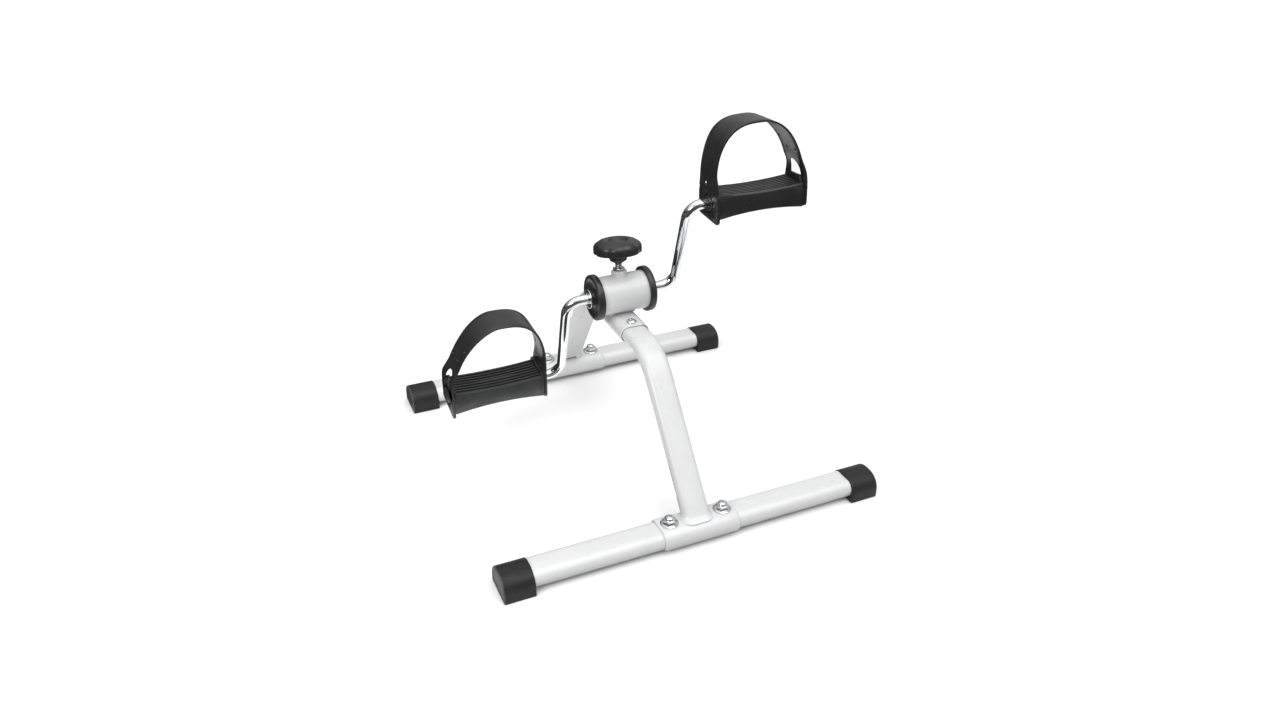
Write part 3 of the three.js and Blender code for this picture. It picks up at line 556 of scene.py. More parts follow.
def saddle_fasteners(name, y, hand, side):
    """Dished washer and domed cap nut on one saddle bolt."""
    at = Matrix.Translation((side * SADDLE_BOLT_X, y, 0))
    z = SADDLE_TOP + GAP
    r, rim, top = SADDLE_BOLT_R + GAP, WASHER_R, SADDLE_TOP + GAP + WASHER_THICK
    washer = [(r, z), (rim - 0.3, z), (rim, z + 0.3), (rim, z + 0.6), (rim - 0.3, z + 0.85)]
    washer += [(rim - 1.2, z + 1.25), (rim - 2.2, top), (r, top)]
    shape = Shape().add(*revolve(washer, 56)).moved(at)
    piece(f"washer_{name}_{hand}", shape, "frame", ZINC, [f"saddle_washer_{name}_{hand}"], angle=50)
    z = SADDLE_TOP + 2 * GAP + WASHER_THICK
    head, crown = z + CAP_NUT_HEX, z + CAP_NUT_HIGH
    levels = [(z, 0.7), (z + 0.45, 0.0), (head - 0.6, 0.0), (head, 0.55)]
    shape = Shape().add(*skin([hex_ring(CAP_NUT_WIDE, level, inset) for level, inset in levels]))
    dome = [(CAP_NUT_DOME + 0.1, head - 0.5), (CAP_NUT_DOME + 0.1, head + 0.2)]
    for i in range(8):
        a = math.radians(90 * i / 8)
        dome.append((CAP_NUT_DOME * math.cos(a), head + 0.3 + (crown - head - 0.3) * math.sin(a)))
    dome = [(0.0, head - 0.5)] + dome + [(0.0, crown)]
    shape.add(*revolve(dome, 40, loop=False)).moved(at)
    piece(f"nut_{name}_{hand}", shape, "frame", ZINC, [f"saddle_nut_{name}_{hand}"], angle=40)
    refined(f"saddle_bolt_{name}_{hand}", "frame", ZINC, 0.25)


for end_name, bar_y in ENDS:
    foot_bar(end_name, bar_y)
    saddle(end_name, bar_y)
    for hand_name, hand_side in SIDES:
        foot_cap(end_name, bar_y, hand_name, hand_side)
        saddle_fasteners(end_name, bar_y, hand_name, hand_side)


# ---------------------------------------------------------------- legs and sleeve
def leg_sections(start_y, corner_y, foot_y):
    """Stations of a leg down its bend: place, turn, stretch across the cut, and growth of the weld."""
    side = math.copysign(1, foot_y - corner_y)
    foot_z = SADDLE_TOP + GAP
    drop = math.atan2(SLEEVE_Z - foot_z, abs(foot_y - corner_y))
    tangent = LEG_BEND * math.tan(drop / 2)
    bend_y = corner_y - side * tangent
    out = [(start_y, SLEEVE_Z, 0.0, 1.0, 0.0), ((start_y + bend_y) / 2, SLEEVE_Z, 0.0, 1.0, 0.0)]
    for i in range(33):
        a = drop * i / 32
        y = bend_y + side * LEG_BEND * math.sin(a)
        out.append((y, SLEEVE_Z - LEG_BEND * (1 - math.cos(a)), a, 1.0, 0.0))
    last_y, last_z = out[-1][0], out[-1][1]
    stop_y = foot_y - side * LEG_FOOT / math.tan(drop)
    for i in range(1, 9):
        t = i / 9
        z = last_z + (foot_z + LEG_FOOT - last_z) * t
        out.append((last_y + (stop_y - last_y) * t, z, drop, 1.0, 0.0))
    for rise in (7, 5, 3.6, 2.4, 1.5, 0.8, 0.2, 0):
        turn = drop + (math.pi / 2 - drop) * smooth_step(9, 4.9, rise)
        stretch = 1 + (1 / math.sin(drop) - 1) * smooth_step(9, 4.9, rise)
        grow = LEG_WELD * (1 - min(rise / 5, 1)) ** 2
        out.append((foot_y - side * rise / math.tan(drop), foot_z + rise, turn, stretch, grow))
    return side, out


def box(x0, x1, y0, y1, z0, z1):
    outline = [(y1, z0), (y0, z0), (y0, z1), (y1, z1)]
    return skin([[(x, u, v) for u, v in outline] for x in (x0, x1)])


def leg(name, node, start_y, corner_y, foot_y):
    """Bent flat oval tube with its weld at the foot. The rear one has a gap cut in that weld, with a dark
    block inside it as painted shade.
    """
    side, sections = leg_sections(start_y, corner_y, foot_y)
    rings = []
    for y, z, a, stretch, grow in sections:
        outline = flat_oval(LEG_WIDE + 2 * grow, LEG_THICK + 2 * grow, 14)
        rings.append([
            (u, y + side * v * stretch * math.sin(a), z + v * stretch * math.cos(a)) for u, v in outline
        ])
    foot, left = SADDLE_TOP + GAP, -LEG_WIDE / 2
    cuts = []
    if side > 0:
        cuts.append(box(left - 3.5, 6, foot_y - 16, foot_y - 3, foot - 1, foot + 2.6))
    piece(name, Shape().add(*skin(rings)), "frame", WHITE, [node], cuts=cuts, angle=40)
    if side > 0:
        # Painted shade: a dark block set inside the gap stands in for the shade in the tube's hollow.
        inside = box(left + 2, 5.9, foot_y - 8.4, foot_y - 3.1, foot, foot + 2.5)
        piece("leg_gap_painted_shade", Shape().add(*inside), "frame", NYLON)


def weld_bead(name, path, radius, body, ripples, closed=True):
    """A small rippled bead laid along a path."""
    count = len(path)
    rings = []
    for i, p in enumerate(path):
        here = Vector(p)
        ahead = Vector(path[(i + 1) % count]) if closed or i < count - 1 else here
        behind = Vector(path[i - 1]) if closed or i else here
        way = (ahead - behind).normalized()
        across = way.cross(Vector((0, 0, 1))).normalized()
        up = across.cross(way).normalized()
        ripple = math.sin(2 * math.pi * ripples * i / count)
        r = radius * (1 + 0.16 * ripple + 0.05 * math.sin(5.7 * i))
        if not closed and i in (0, count - 1):
            r *= 0.35
        rings.append([
            tuple(here + across * r * math.cos(t) + up * r * math.sin(t))
            for t in (2 * math.pi * j / 12 for j in range(12))
        ])
    piece(name, Shape().add(*skin(rings, loop=closed)), body, WHITE, angle=60)


def sleeve():
    """Tube over both legs, with eased edges and a mouth opened a little at each end."""
    wide, thick, front, rear = LEG_WIDE + 2 * GAP, LEG_THICK + 2 * GAP, SLEEVE_FRONT, SLEEVE_REAR
    outer = flat_oval(wide + 2 * SLEEVE_WALL, SLEEVE_THICK, 16)
    eased = flat_oval(wide + 2 * SLEEVE_WALL - 0.7, SLEEVE_THICK - 0.7, 16)
    mouth = flat_oval(wide + 1.1, thick + 1.1, 16)
    inner = flat_oval(wide, thick, 16)
    stations = [
        (outer, front + 0.35), (outer, rear - 0.35), (eased, rear), (mouth, rear), (mouth, rear - 4),
        (inner, rear - 4.6), (inner, front + 4.6), (mouth, front + 4), (mouth, front), (eased, front),
    ]
    rings = [[(u, y, SLEEVE_Z + v) for u, v in outline] for outline, y in stations]
    shape = Shape().add(*skin(rings, loop=True))
    piece("sleeve_tube", shape, "frame", WHITE, ["leg_sleeve"])


def sleeve_bolt(name, y):
    top = SLEEVE_Z + SLEEVE_THICK / 2 + GAP
    low = SLEEVE_Z - SLEEVE_THICK / 2 - 7
    r, brim, crown = SLEEVE_BOLT_R, SLEEVE_BOLT_HEAD, top + SLEEVE_BOLT_HIGH
    head = [(0.0, low), (r, low), (r, top), (brim, top), (brim, top + 0.7)]
    for i in range(1, 8):
        a = math.radians(8 * i)
        head.append((brim * math.cos(a), top + 0.7 + 2.5 * math.sin(a)))
    head += [(2.4, crown), (0.0, crown)]
    at = Matrix.Translation((0, y, 0))
    shape = Shape().add(*revolve(head, 48, loop=False)).moved(at)
    socket = [[(u, v + y, z) for u, v in hexagon(3.6, 20)] for z in (top + 1.2, top + 5)]
    node = f"sleeve_bolt_{name}"
    piece(f"bolt_{name}", shape, "frame", CHROME, [node], cuts=[skin(socket)], angle=38)


leg("post_tube", "front_post", POST_START, POST_CORNER, -BAR_Y)
leg("leg_tube", "rear_leg", LEG_START, LEG_CORNER, BAR_Y)
sleeve()
sleeve_bolt("front", SLEEVE_FRONT + SLEEVE_BOLT_INSET)
sleeve_bolt("rear", SLEEVE_REAR - SLEEVE_BOLT_INSET)
for end_name in ("front", "rear"):
    refined(f"sleeve_nut_{end_name}", "frame", ZINC, 0.3)
for end_name, offset in (("front", -1), ("rear", 1)):
    bead_y = HUB_Y + offset * 6.2
    bead = [(-15 + 30 * i / 60, bead_y, SLEEVE_Z + SLEEVE_THICK / 2 + 0.7) for i in range(61)]
    weld_bead(f"hub_weld_{end_name}", bead, 1.5, "frame", 13, closed=False)


# ---------------------------------------------------------------- hub
def hub():
    inner = HUB_R - HUB_WALL
    tube = [(inner, -HUB_HALF)] + [(HUB_R, -HUB_HALF + HUB_HALF * i / 6) for i in range(13)]
    tube += [(inner, HUB_HALF)]
    shape = Shape().add(*revolve(tube, 128, "X", (0, HUB_Y, HUB_Z)))
    piece("hub_barrel", shape, "frame", WHITE, ["hub_tube"])
    for hand, side in SIDES:
        hub_cap(hand, side)
        ring_profile = rounded([
            (ROD_R + GAP, HUB_CAP_OUT + 2.9), (RING_R, HUB_CAP_OUT + 2.9),
            (RING_R, HUB_CAP_OUT + 4.3), (ROD_R + GAP, HUB_CAP_OUT + 4.3),
        ], 0.45)
        ring_profile = [(r, side * h) for r, h in ring_profile]
        shape = Shape().add(*revolve(ring_profile, 64, "X", (0, HUB_Y, HUB_Z)))
        piece(f"ring_{hand}", shape, "crank", CHROME, [f"rod_ring_{hand}"], angle=50)


def hub_cap(hand, side):
    """Dished end cap with a rolled rim, a shallow step inside it and a nose round the rod."""
    face = HUB_HALF + GAP
    rim = HUB_CAP_R
    profile = [
        (ROD_R + 0.7, face), (HUB_R + GAP, face), (HUB_R + GAP, HUB_CAP_IN), (rim - 1.0, HUB_CAP_IN),
        (rim - 0.3, HUB_CAP_IN + 0.3), (rim, HUB_CAP_IN + 1.0), (rim, HUB_CAP_OUT - 2.2),
        (rim - 0.25, HUB_CAP_OUT - 1.2), (rim - 0.9, HUB_CAP_OUT - 0.45), (rim - 1.9, HUB_CAP_OUT - 0.08),
        (rim - 3.0, HUB_CAP_OUT), (rim - 4.4, HUB_CAP_OUT - 0.15), (rim - 5.4, HUB_CAP_OUT - 0.7),
        (rim - 6.2, HUB_CAP_OUT - 1.3), (rim - 7.6, face + 1.8), (rim - 8.6, face + 1.4),
        (9.6, face + 1.4), (8.7, face + 1.7), (8.4, face + 2.6), (8.4, HUB_CAP_OUT + 2.0),
        (8.0, HUB_CAP_OUT + 2.5), (7.4, HUB_CAP_OUT + 2.6), (ROD_R + 0.7, HUB_CAP_OUT + 2.6),
    ]
    shape = Shape().add(*revolve([(r, side * h) for r, h in profile], 96, "X", (0, HUB_Y, HUB_Z)))
    piece(f"end_cap_{hand}", shape, "frame", BLACK, [f"hub_cap_{hand}"], angle=42)


hub()


# ---------------------------------------------------------------- tension screw and knob
def leaned():
    """Turns a tension part built on the Z axis back round the hub axis."""
    turn = Matrix.Rotation(math.radians(-TENSION_LEAN), 4, "X")
    return Matrix.Translation((0, HUB_Y, HUB_Z)) @ turn @ Matrix.Translation((0, 0, -HUB_Z))


def bored_hex(across, turn, levels, bore, top, low):
    """A leaned hexagonal body through (z, inset) levels from its foot up, then down its bore."""
    rings = [hex_ring(across, z, inset, turn, 0.55) for z, inset in levels]
    around = [math.atan2(p[1], p[0]) for p in rings[0]]
    for z, r in ((top, bore + 0.6), (top - 0.6, bore), (low, bore)):
        rings.append([(r * math.cos(a), r * math.sin(a), z) for a in around])
    return Shape().add(*skin(rings, loop=True)).moved(leaned())


def tension_boss():
    """Hexagonal boss cut to sit on the hub tube, with its weld."""
    low, top = BOSS_TOP - 12, BOSS_TOP
    levels = [(low, 0.0), (top - 1.3, 0.0), (top - 0.7, 0.1), (top - 0.25, 0.45), (top, 1.1)]
    shape = bored_hex(BOSS_WIDE, BOSS_TURN, levels, SCREW_R + 0.5, top, low)
    seat = HUB_R + GAP
    cutter = revolve([(0.0, -40), (seat, -40), (seat, 40), (0.0, 40)], 128, "X", (0, HUB_Y, HUB_Z))
    piece("boss", shape, "frame", WHITE, ["tension_boss"], cuts=[cutter], angle=40)
    bead = []
    for i in range(120):
        a = 2 * math.pi * i / 120
        r = BOSS_WIDE / 2 + 0.5 + 0.55 * math.cos(6 * (a - math.radians(BOSS_TURN)))
        x, y = r * math.cos(a), r * math.sin(a)
        bead.append((x, y, HUB_Z + math.sqrt(HUB_R ** 2 - y * y) + 0.15))
    bead = [tuple(leaned() @ Vector(p)) for p in bead]
    weld_bead("boss_weld", bead, 0.55, "frame", 16)


def jam_nut():
    low, top = BOSS_TOP + GAP, JAM_TOP
    levels = [(low, 0.4), (low + 0.35, 0.0), (top - 0.7, 0.0), (top - 0.3, 0.25), (top, 0.75)]
    shape = bored_hex(JAM_WIDE, JAM_TURN, levels, SCREW_R + GAP, top, low)
    piece("lock_nut", shape, "frame", ZINC, ["jam_nut"], angle=40)


def threaded_rod(low, top, r, pitch, around=40, per_turn=8):
    """A rod whose surface follows a helical thread, run out at both ends."""
    rows = int((top - low) / pitch * per_turn)
    rings = []
    for i in range(rows + 1):
        z = low + (top - low) * i / rows
        fade = min(smooth_step(0, 1.0, z - low), smooth_step(0, 1.0, top - z))
        ring = []
        for j in range(around):
            a = 2 * math.pi * j / around
            phase = (z / pitch - j / around) % 1.0
            depth = 0.62 * abs(2 * phase - 1) * fade + 0.5 * (1 - fade)
            ring.append(((r - depth) * math.cos(a), (r - depth) * math.sin(a), z))
        rings.append(ring)
    return skin(rings)


def knob():
    """Hand knob: (height, share of its radius, depth of its lobes) levels, its boss and its disc."""
    steps = 192
    phase = math.radians(KNOB_PHASE)
    levels = [
        (0.0, 0.90, 0.4), (0.0, 0.95, 0.6), (0.12, 0.975, 0.8), (0.4, 0.992, 0.95), (0.9, 1.0, 1.0),
        (3.0, 1.0, 1.0), (5.2, 1.0, 1.0), (6.4, 0.997, 1.0), (7.5, 0.99, 1.0), (8.5, 0.976, 1.0),
        (9.3, 0.958, 1.0), (10.1, 0.932, 1.0), (10.9, 0.9, 0.9), (11.6, 0.863, 0.7), (12.3, 0.818, 0.5),
        (13.0, 0.762, 0.3), (13.5, 0.708, 0.1), (13.9, 0.655, 0.0), (14.25, 0.6, 0.0), (14.38, 0.55, 0.0),
        (14.3, 0.51, 0.0), (14.0, 0.468, 0.0), (13.4, 0.425, 0.0), (12.8, 0.4, 0.0), (12.3, 0.384, 0.0),
        (11.7, 0.38, 0.0),
    ]
    rings = []
    for h, scale, lobe in levels:
        ring = []
        for i in range(steps):
            a = 2 * math.pi * i / steps
            notch = ((1 - math.cos(KNOB_LOBES * a)) / 2) ** 3
            r = KNOB_R * scale + lobe * KNOB_LOBE * (1 - 2 * notch)
            ring.append((r * math.cos(a + phase), r * math.sin(a + phase), KNOB_LOW + h))
        rings.append(ring)
    shape = Shape().add(*skin(rings))
    low, head, bore = KNOB_BOSS, KNOB_LOW, SCREW_R + GAP
    boss = [(bore, low + 0.3), (SCREW_R + 0.6, low + 0.02), (4.8, low + 0.05), (5.3, low + 0.4)]
    boss += [(7.1, low + 1.5), (8.8, low + 2.5), (9.6, low + 3.4), (10.0, low + 4.6), (10.3, low + 6.5)]
    boss += [(10.8, low + 9), (11.9, head - 0.8), (13.2, head - 0.1), (14.4, head + 0.4), (bore, head + 0.4)]
    shape.add(*revolve(boss, 56)).moved(leaned())
    piece("knob_head", shape, "tension_knob", BLACK, ["tension_knob"], angle=48)
    z, r = INSERT_TOP - 1.1, INSERT_R
    disc = [(0.0, z), (r - 0.05, z), (r - 0.05, z + 0.5), (r - 0.35, z + 0.9), (r - 0.85, z + 1.08)]
    disc += [(r - 1.4, z + 1.0), (r - 1.75, z + 0.6), (r - 2.3, z + 0.6), (r - 2.6, z + 0.85)]
    disc += [(r - 4.4, z + 0.95), (0.0, z + 1.02)]
    shape = Shape().add(*revolve(disc, 72, loop=False)).moved(leaned())
    piece("knob_disc", shape, "tension_knob", BLACK, ["knob_insert"], angle=40)


tension_boss()
jam_nut()
screw = Shape().add(*threaded_rod(SCREW_TIP, KNOB_LOW + 3, SCREW_R, THREAD_PITCH)).moved(leaned())
piece("screw_thread", screw, "tension_knob", STEEL, ["tension_screw"], angle=50)
knob()


# ---------------------------------------------------------------- crank rod
def crank_rod():
    """One bar bent through (x, distance from the hub axis) corners, with eased ends."""
    corners = [(-ROD_END, -CRANK_R), (-ARM_X, -CRANK_R), (-ARM_X, 0)]
    corners += [(ARM_X, 0), (ARM_X, CRANK_R), (ROD_END, CRANK_R)]
    corners = [Vector(c) for c in corners]
    path = [(corners[0], (corners[1] - corners[0]).normalized())]
    for before, here, after in zip(corners, corners[1:], corners[2:]):
        into, out = (here - before).normalized(), (after - here).normalized()
        centre = here - into * ROD_BEND + out * ROD_BEND
        straight = path[-1][0]
        start = centre - out * ROD_BEND
        for t in (0.33, 0.66):
            path.append((straight.lerp(start, t), into))
        for j in range(19):
            a = math.pi / 2 * j / 18
            at = centre - out * ROD_BEND * math.cos(a) + into * ROD_BEND * math.sin(a)
            path.append((at, into * math.cos(a) + out * math.sin(a)))
    path.append((corners[-1], (corners[-1] - corners[-2]).normalized()))
    lean = math.radians(CRANK_LEAN)

    def ring(at, way, r):
        out = []
        for i in range(40):
            a = 2 * math.pi * i / 40
            off = r * math.cos(a)
            x, s, q = at.x - way.y * off, at.y + way.x * off, r * math.sin(a)
            out.append((
                x + CRANK_SHIFT,
                HUB_Y + s * math.sin(lean) + q * math.cos(lean),
                HUB_Z + s * math.cos(lean) - q * math.sin(lean),
            ))
        return out

    first, last = path[0], path[-1]
    rings = [ring(first[0], first[1], ROD_R - 0.8), ring(first[0] + first[1] * 0.8, first[1], ROD_R)]
    rings += [ring(at, way, ROD_R) for at, way in path[1:-1]]
    rings += [ring(last[0] - last[1] * 0.8, last[1], ROD_R), ring(last[0], last[1], ROD_R - 0.8)]
    piece("bent_rod", Shape().add(*skin(rings)), "crank", CHROME, ["crank_rod"], angle=40)


crank_rod()


# ---------------------------------------------------------------- pedals
def pedal_place(hand, side):
    """Turns a right hand pedal built round its spindle axis into its place."""
    lean = math.radians(CRANK_LEAN)
    turn = Matrix.Rotation(math.pi, 4, "Z") if side < 0 else Matrix.Identity(4)
    tip = Matrix.Rotation(math.radians(-TILT[hand]), 4, "X")
    y = HUB_Y + side * CRANK_R * math.sin(lean)
    z = HUB_Z + side * CRANK_R * math.cos(lean)
    return Matrix.Translation((CRANK_SHIFT, y, z)) @ tip @ turn


def plate_outline(half, top, low_front, low_back):
    """End plate outline over a lower edge that slants from one side to the other."""
    return [
        (4 - half, low_front), (1.2 - half, low_front + 1.2), (-half, low_front + 4), (-half, top - 8),
        (3 - half, top), (half - 3, top), (half, top - 8), (half, low_back + 4),
        (half - 1.2, low_back + 1.2), (half - 4, low_back),
    ]


def prism_x(outline, x0, x1):
    return skin([[(x, u, v) for u, v in outline] for x in (x0, x1)])


def rod_x(r, x0, x1, y=0.0, z=0.0, steps=40):
    return revolve([(0.0, x0), (r, x0), (r, x1), (0.0, x1)], steps, "X", (0, y, z), loop=False)


def strap_half(z):
    base = (STRAP_BASE - STRAP_WAIST) * smooth_step(36, 12, z)
    crown = (STRAP_HALF - STRAP_WAIST) * smooth_step(50, 86, z)
    return STRAP_WAIST + base + crown


def strap_band(hand):
    """Arched band of a strap with eased edges, built round the right hand spindle."""
    mid = STRAP_PEAK
    power_out = STRAP_POWER_OUT[hand]

    def point(a, inset):
        c, s = math.cos(a), math.sin(a)
        p = 2 / (power_out if c > 0 else STRAP_POWER_IN)
        limit = PEDAL_OUT - mid if c > 0 else mid - PEDAL_IN
        reach = limit if c > 0 else limit + STRAP_BULGE
        x = (reach - inset) * abs(c) ** p
        z = (STRAP_HEIGHT - inset) * s ** p
        t = smooth_step(40, 18, z)
        x = x * (1 - t) + (limit - inset) * t
        return mid + math.copysign(x, c), z

    steps, start, edge = 110, 0.07, 0.35
    across = [-1.0, -0.97, -0.6, -0.2, 0.2, 0.6, 0.97, 1.0]
    rings = []
    for i in range(steps + 1):
        a = start + (math.pi - 2 * start) * i / steps
        outside, inside = point(a, 0), point(a, STRAP_BAND)
        half = strap_half(outside[1])
        ring = []
        for (x, z), (far_x, far_z), row in ((outside, inside, across), (inside, outside, across[::-1])):
            dx, dz = far_x - x, far_z - z
            n = math.hypot(dx, dz) or 1.0
            for t in row:
                ease = edge if abs(t) == 1 else 0.0
                ring.append((x + dx / n * ease, t * half, z + dz / n * ease))
        rings.append(ring)
    return skin(rings)


def strap_cuts():
    """The window in the outer foot of the band, the hook holes and the slot in its inner foot."""
    inner, outer = STRAP_PEAK - 10, STRAP_PEAK + 10
    window = [(12, 13.5), (12, 22), (11.3, 29), (9.5, 32.5), (6, 34.5), (1.5, 34.8), (-2.5, 33.6)]
    window += [(-5.5, 30.8), (-8, 27), (-9.8, 22), (-10.8, 17), (-1.5, 17), (1.5, 13.5)]
    slot = [(4, 18.6), (11, 18.6), (11, 22.4), (4, 22.4)]
    cuts = [prism_x(rounded(window, 1.6), outer + 10, PEDAL_OUT + 5)]
    cuts += [rod_x(HOOK_HOLE_R, outer, PEDAL_OUT + 5, y, z, 24) for y, z in OUTER_HOOK_HOLES]
    cuts.append(rod_x(HOOK_HOLE_R, PEDAL_IN - 5, inner, *INNER_HOOK_HOLE, 24))
    cuts.append(prism_x(rounded(slot, 1.0), PEDAL_IN - 4, PEDAL_IN + 10))
    return cuts


def strap(hand, side):
    """Foot strap: its band and its two end plates, joined in one piece."""
    band = raw_object("band", *strap_band(hand))
    carve(band, strap_cuts())
    parts = [band]
    inner_plate = (PEDAL_IN, plate_outline(22, 18, -20, -16))
    outer_plate = (PEDAL_OUT - STRAP_PLATE, plate_outline(22, 18, -14, -19.5))
    for x, outline in (inner_plate, outer_plate):
        plate = raw_object("plate", *prism_x(rounded(outline, 1.6), x, x + STRAP_PLATE))
        near, far = x - 1, x + STRAP_PLATE + 1
        holes = [rod_x(SPINDLE_HOLE_R, near, far), rod_x(PLATE_HOLE_R, near, far, *PLATE_HOLE, 32)]
        carve(plate, holes)
        bevel(plate, 0.5, 50)
        parts.append(plate)
    name = f"strap_{hand}"
    joined = bmesh.new()
    for part in parts:
        joined.from_mesh(part.data)
        bpy.data.objects.remove(part)
    mesh = bpy.data.meshes.new(name)
    joined.to_mesh(mesh)
    joined.free()
    mesh.transform(Matrix.Scale(MM, 4) @ pedal_place(hand, side) @ Matrix.Scale(1 / MM, 4))
    done = bpy.data.objects.new(name, mesh)
    bpy.context.scene.collection.objects.link(done)
    finish_mesh(done, BLACK[1], 38)
    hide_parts(f"pedal_strap_{hand}")
    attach(done, f"pedal_{hand}")


for hand_name, hand_side in SIDES:
    strap(hand_name, hand_side)
    refined(f"pedal_body_{hand_name}", f"pedal_{hand_name}", BLACK, 0.3, 32, 32)
    for fitting in ("spindle_ring", "spindle_cap"):
        refined(f"{fitting}_{hand_name}", "crank", NYLON, 0.2, 40, 35)


# ---------------------------------------------------------------- stage, light and camera, in metres
FLOOR_HALF = 9.0
BOUNCE_DROP, BOUNCE_GREY = 0.0005, 0.66
CARD_RISE, CARD_GREY = 0.0008, 0.02
SURROUNDINGS = 1.38
BACKDROP, SIDE_WHITE = 0.735, 0.5
SKY = (
    (0.0, 0.33), (0.49, 0.33), (0.505, 0.03), (0.58, 0.03),
    (0.66, 0.16), (0.78, 0.36), (0.88, 0.72), (1.0, 1.0),
)
SUN_POWER, SUN_SOFTNESS, SUN_WAY = 1.25, 55.0, (-0.2, 0.38, -1.0)
SENSOR, LENS = 36, 28.574
AZIMUTH, ELEVATION, ROLL = math.radians(-24.35), math.radians(29.56), math.radians(0.43)
DISTANCE, TARGET = 1.0953, (-0.0067, -0.0570, 0.1466)


def flat_sheet(name, points, faces, material):
    mesh = bpy.data.meshes.new(name)
    mesh.from_pydata(points, [], faces)
    mesh.materials.append(material)
    obj = bpy.data.objects.new(name, mesh)
    bpy.context.scene.collection.objects.link(obj)
    return obj


def plain_grey(name, value):
    return Look(name, 0.9, Base_Color=(value, value, value, 1)).material


def pale_floor():
    """Pale floor for the camera, over a darker card that alone bounces light on to the object."""
    look = Look("pale_floor", 0.7, Specular_IOR_Level=0.1)
    look.colour(look.ramp(look.noise(3, 3), grey(0.925), grey(0.94)))
    corners = [(-FLOOR_HALF, -FLOOR_HALF, 0), (FLOOR_HALF, -FLOOR_HALF, 0)]
    corners += [(FLOOR_HALF, FLOOR_HALF, 0), (-FLOOR_HALF, FLOOR_HALF, 0)]
    floor = flat_sheet("floor", corners, [(0, 1, 2, 3)], look.material)
    floor.visible_diffuse = False
    bounce = flat_sheet("bounce_card", corners, [(0, 1, 2, 3)], plain_grey("bounce", BOUNCE_GREY))
    bounce.location.z = -BOUNCE_DROP
    bounce.visible_camera = bounce.visible_glossy = bounce.visible_shadow = False


def dark_card():
    """Dark cards on the floor round the set and before the left pedal, seen only in reflections."""
    far = FLOOR_HALF
    hole = [(-0.27, -0.34), (0.4, -0.34), (0.6, 0.0), (0.6, 0.5), (-0.02, 0.5), (-0.27, 0.1)]
    rim = [(-far, -far), (far, -far), (far, 0), (far, far), (0, far), (-far, far)]
    flag = [(-0.175, -0.168), (0.0, -0.168), (0.0, -0.055), (-0.175, -0.055)]
    points = [(x, y, CARD_RISE) for x, y in hole + rim + flag]
    faces = [(i, (i + 1) % 6, 6 + (i + 1) % 6, 6 + i) for i in range(6)] + [(12, 13, 14, 15)]
    card = flat_sheet("dark_card", points, faces, plain_grey("card", CARD_GREY))
    card.visible_camera = card.visible_diffuse = card.visible_shadow = False


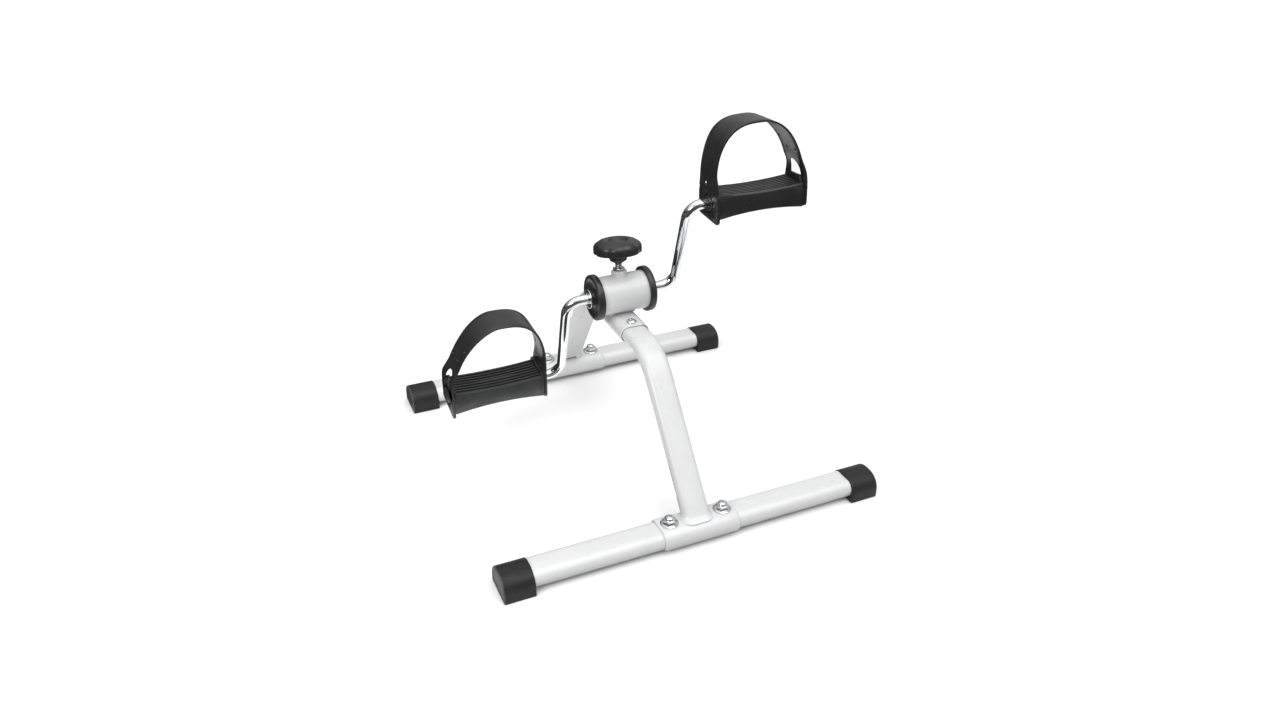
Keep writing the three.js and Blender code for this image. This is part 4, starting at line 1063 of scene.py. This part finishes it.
def world():
    """Soft white surroundings, brightest overhead, with a dark band low down except on the right."""
    scene_world = bpy.data.worlds.new("studio")
    bpy.context.scene.world = scene_world
    scene_world.use_nodes = True
    nodes, links = scene_world.node_tree.nodes, scene_world.node_tree.links
    back = nodes["Background"]
    coords = nodes.new("ShaderNodeTexCoord").outputs["Generated"]
    split = nodes.new("ShaderNodeSeparateXYZ")
    links.new(coords, split.inputs[0])
    ramp = nodes.new("ShaderNodeValToRGB")
    stops = ramp.color_ramp.elements
    for position, _ in SKY[1:-1]:
        stops.new(position)
    for stop, (_, value) in zip(stops, SKY):
        stop.color = (value, value, value * 1.01, 1)
    height = nodes.new("ShaderNodeMapRange")
    height.inputs["From Min"].default_value = -1
    links.new(split.outputs["Z"], height.inputs["Value"])
    links.new(height.outputs["Result"], ramp.inputs["Fac"])
    side = nodes.new("ShaderNodeMapRange")
    side.interpolation_type = "SMOOTHSTEP"
    side.inputs["From Min"].default_value = -0.1
    side.inputs["From Max"].default_value = 0.75
    links.new(split.outputs["X"], side.inputs["Value"])
    mix = nodes.new("ShaderNodeMix")
    mix.data_type = "RGBA"
    mix.inputs[7].default_value = (SIDE_WHITE, SIDE_WHITE, SIDE_WHITE * 1.01, 1)
    links.new(side.outputs["Result"], mix.inputs["Factor"])
    links.new(ramp.outputs["Color"], mix.inputs[6])
    path = nodes.new("ShaderNodeLightPath")
    seen = nodes.new("ShaderNodeMix")
    seen.data_type = "RGBA"
    seen.inputs[7].default_value = (BACKDROP, BACKDROP, BACKDROP, 1)
    links.new(path.outputs["Is Camera Ray"], seen.inputs["Factor"])
    links.new(mix.outputs[2], seen.inputs[6])
    links.new(seen.outputs[2], back.inputs["Color"])
    back.inputs["Strength"].default_value = SURROUNDINGS


def area(name, place, target, size, power, seen=True):
    data = bpy.data.lights.new(name, "AREA")
    data.shape = "RECTANGLE"
    data.size, data.size_y = size
    data.energy = power
    lamp = bpy.data.objects.new(name, data)
    lamp.location = place
    lamp.rotation_euler = (Vector(target) - Vector(place)).to_track_quat("-Z", "Y").to_euler()
    bpy.context.scene.collection.objects.link(lamp)
    lamp.visible_camera = lamp.visible_glossy = seen


def lights():
    data = bpy.data.lights.new("sky_wash", "SUN")
    data.energy = SUN_POWER
    data.angle = math.radians(SUN_SOFTNESS)
    lamp = bpy.data.objects.new("sky_wash", data)
    lamp.rotation_euler = Vector(SUN_WAY).to_track_quat("-Z", "Y").to_euler()
    bpy.context.scene.collection.objects.link(lamp)
    area("soft_left", (-1.5, -0.9, 1.3), (0, 0, 0.15), (0.9, 0.6), 15)
    area("low_fill", (-0.12, -0.05, 0.02), (0, 0.16, 0.09), (0.3, 0.1), 0.35, seen=False)


def camera():
    data = bpy.data.cameras.new("photo_camera")
    data.sensor_width, data.lens = SENSOR, LENS
    data.clip_start = 0.01
    cam = bpy.data.objects.new("photo_camera", data)
    level = math.cos(ELEVATION)
    back = Vector((math.sin(AZIMUTH) * level, -math.cos(AZIMUTH) * level, math.sin(ELEVATION)))
    cam.location = Vector(TARGET) + back * DISTANCE
    turn = back.to_track_quat("Z", "Y").to_matrix().to_4x4()
    cam.rotation_euler = (turn @ Matrix.Rotation(ROLL, 4, "Z")).to_euler()
    bpy.context.scene.collection.objects.link(cam)
    bpy.context.scene.camera = cam


pale_floor()
dark_card()
world()
lights()
camera()
bpy.context.scene.view_settings.view_transform = "Standard"
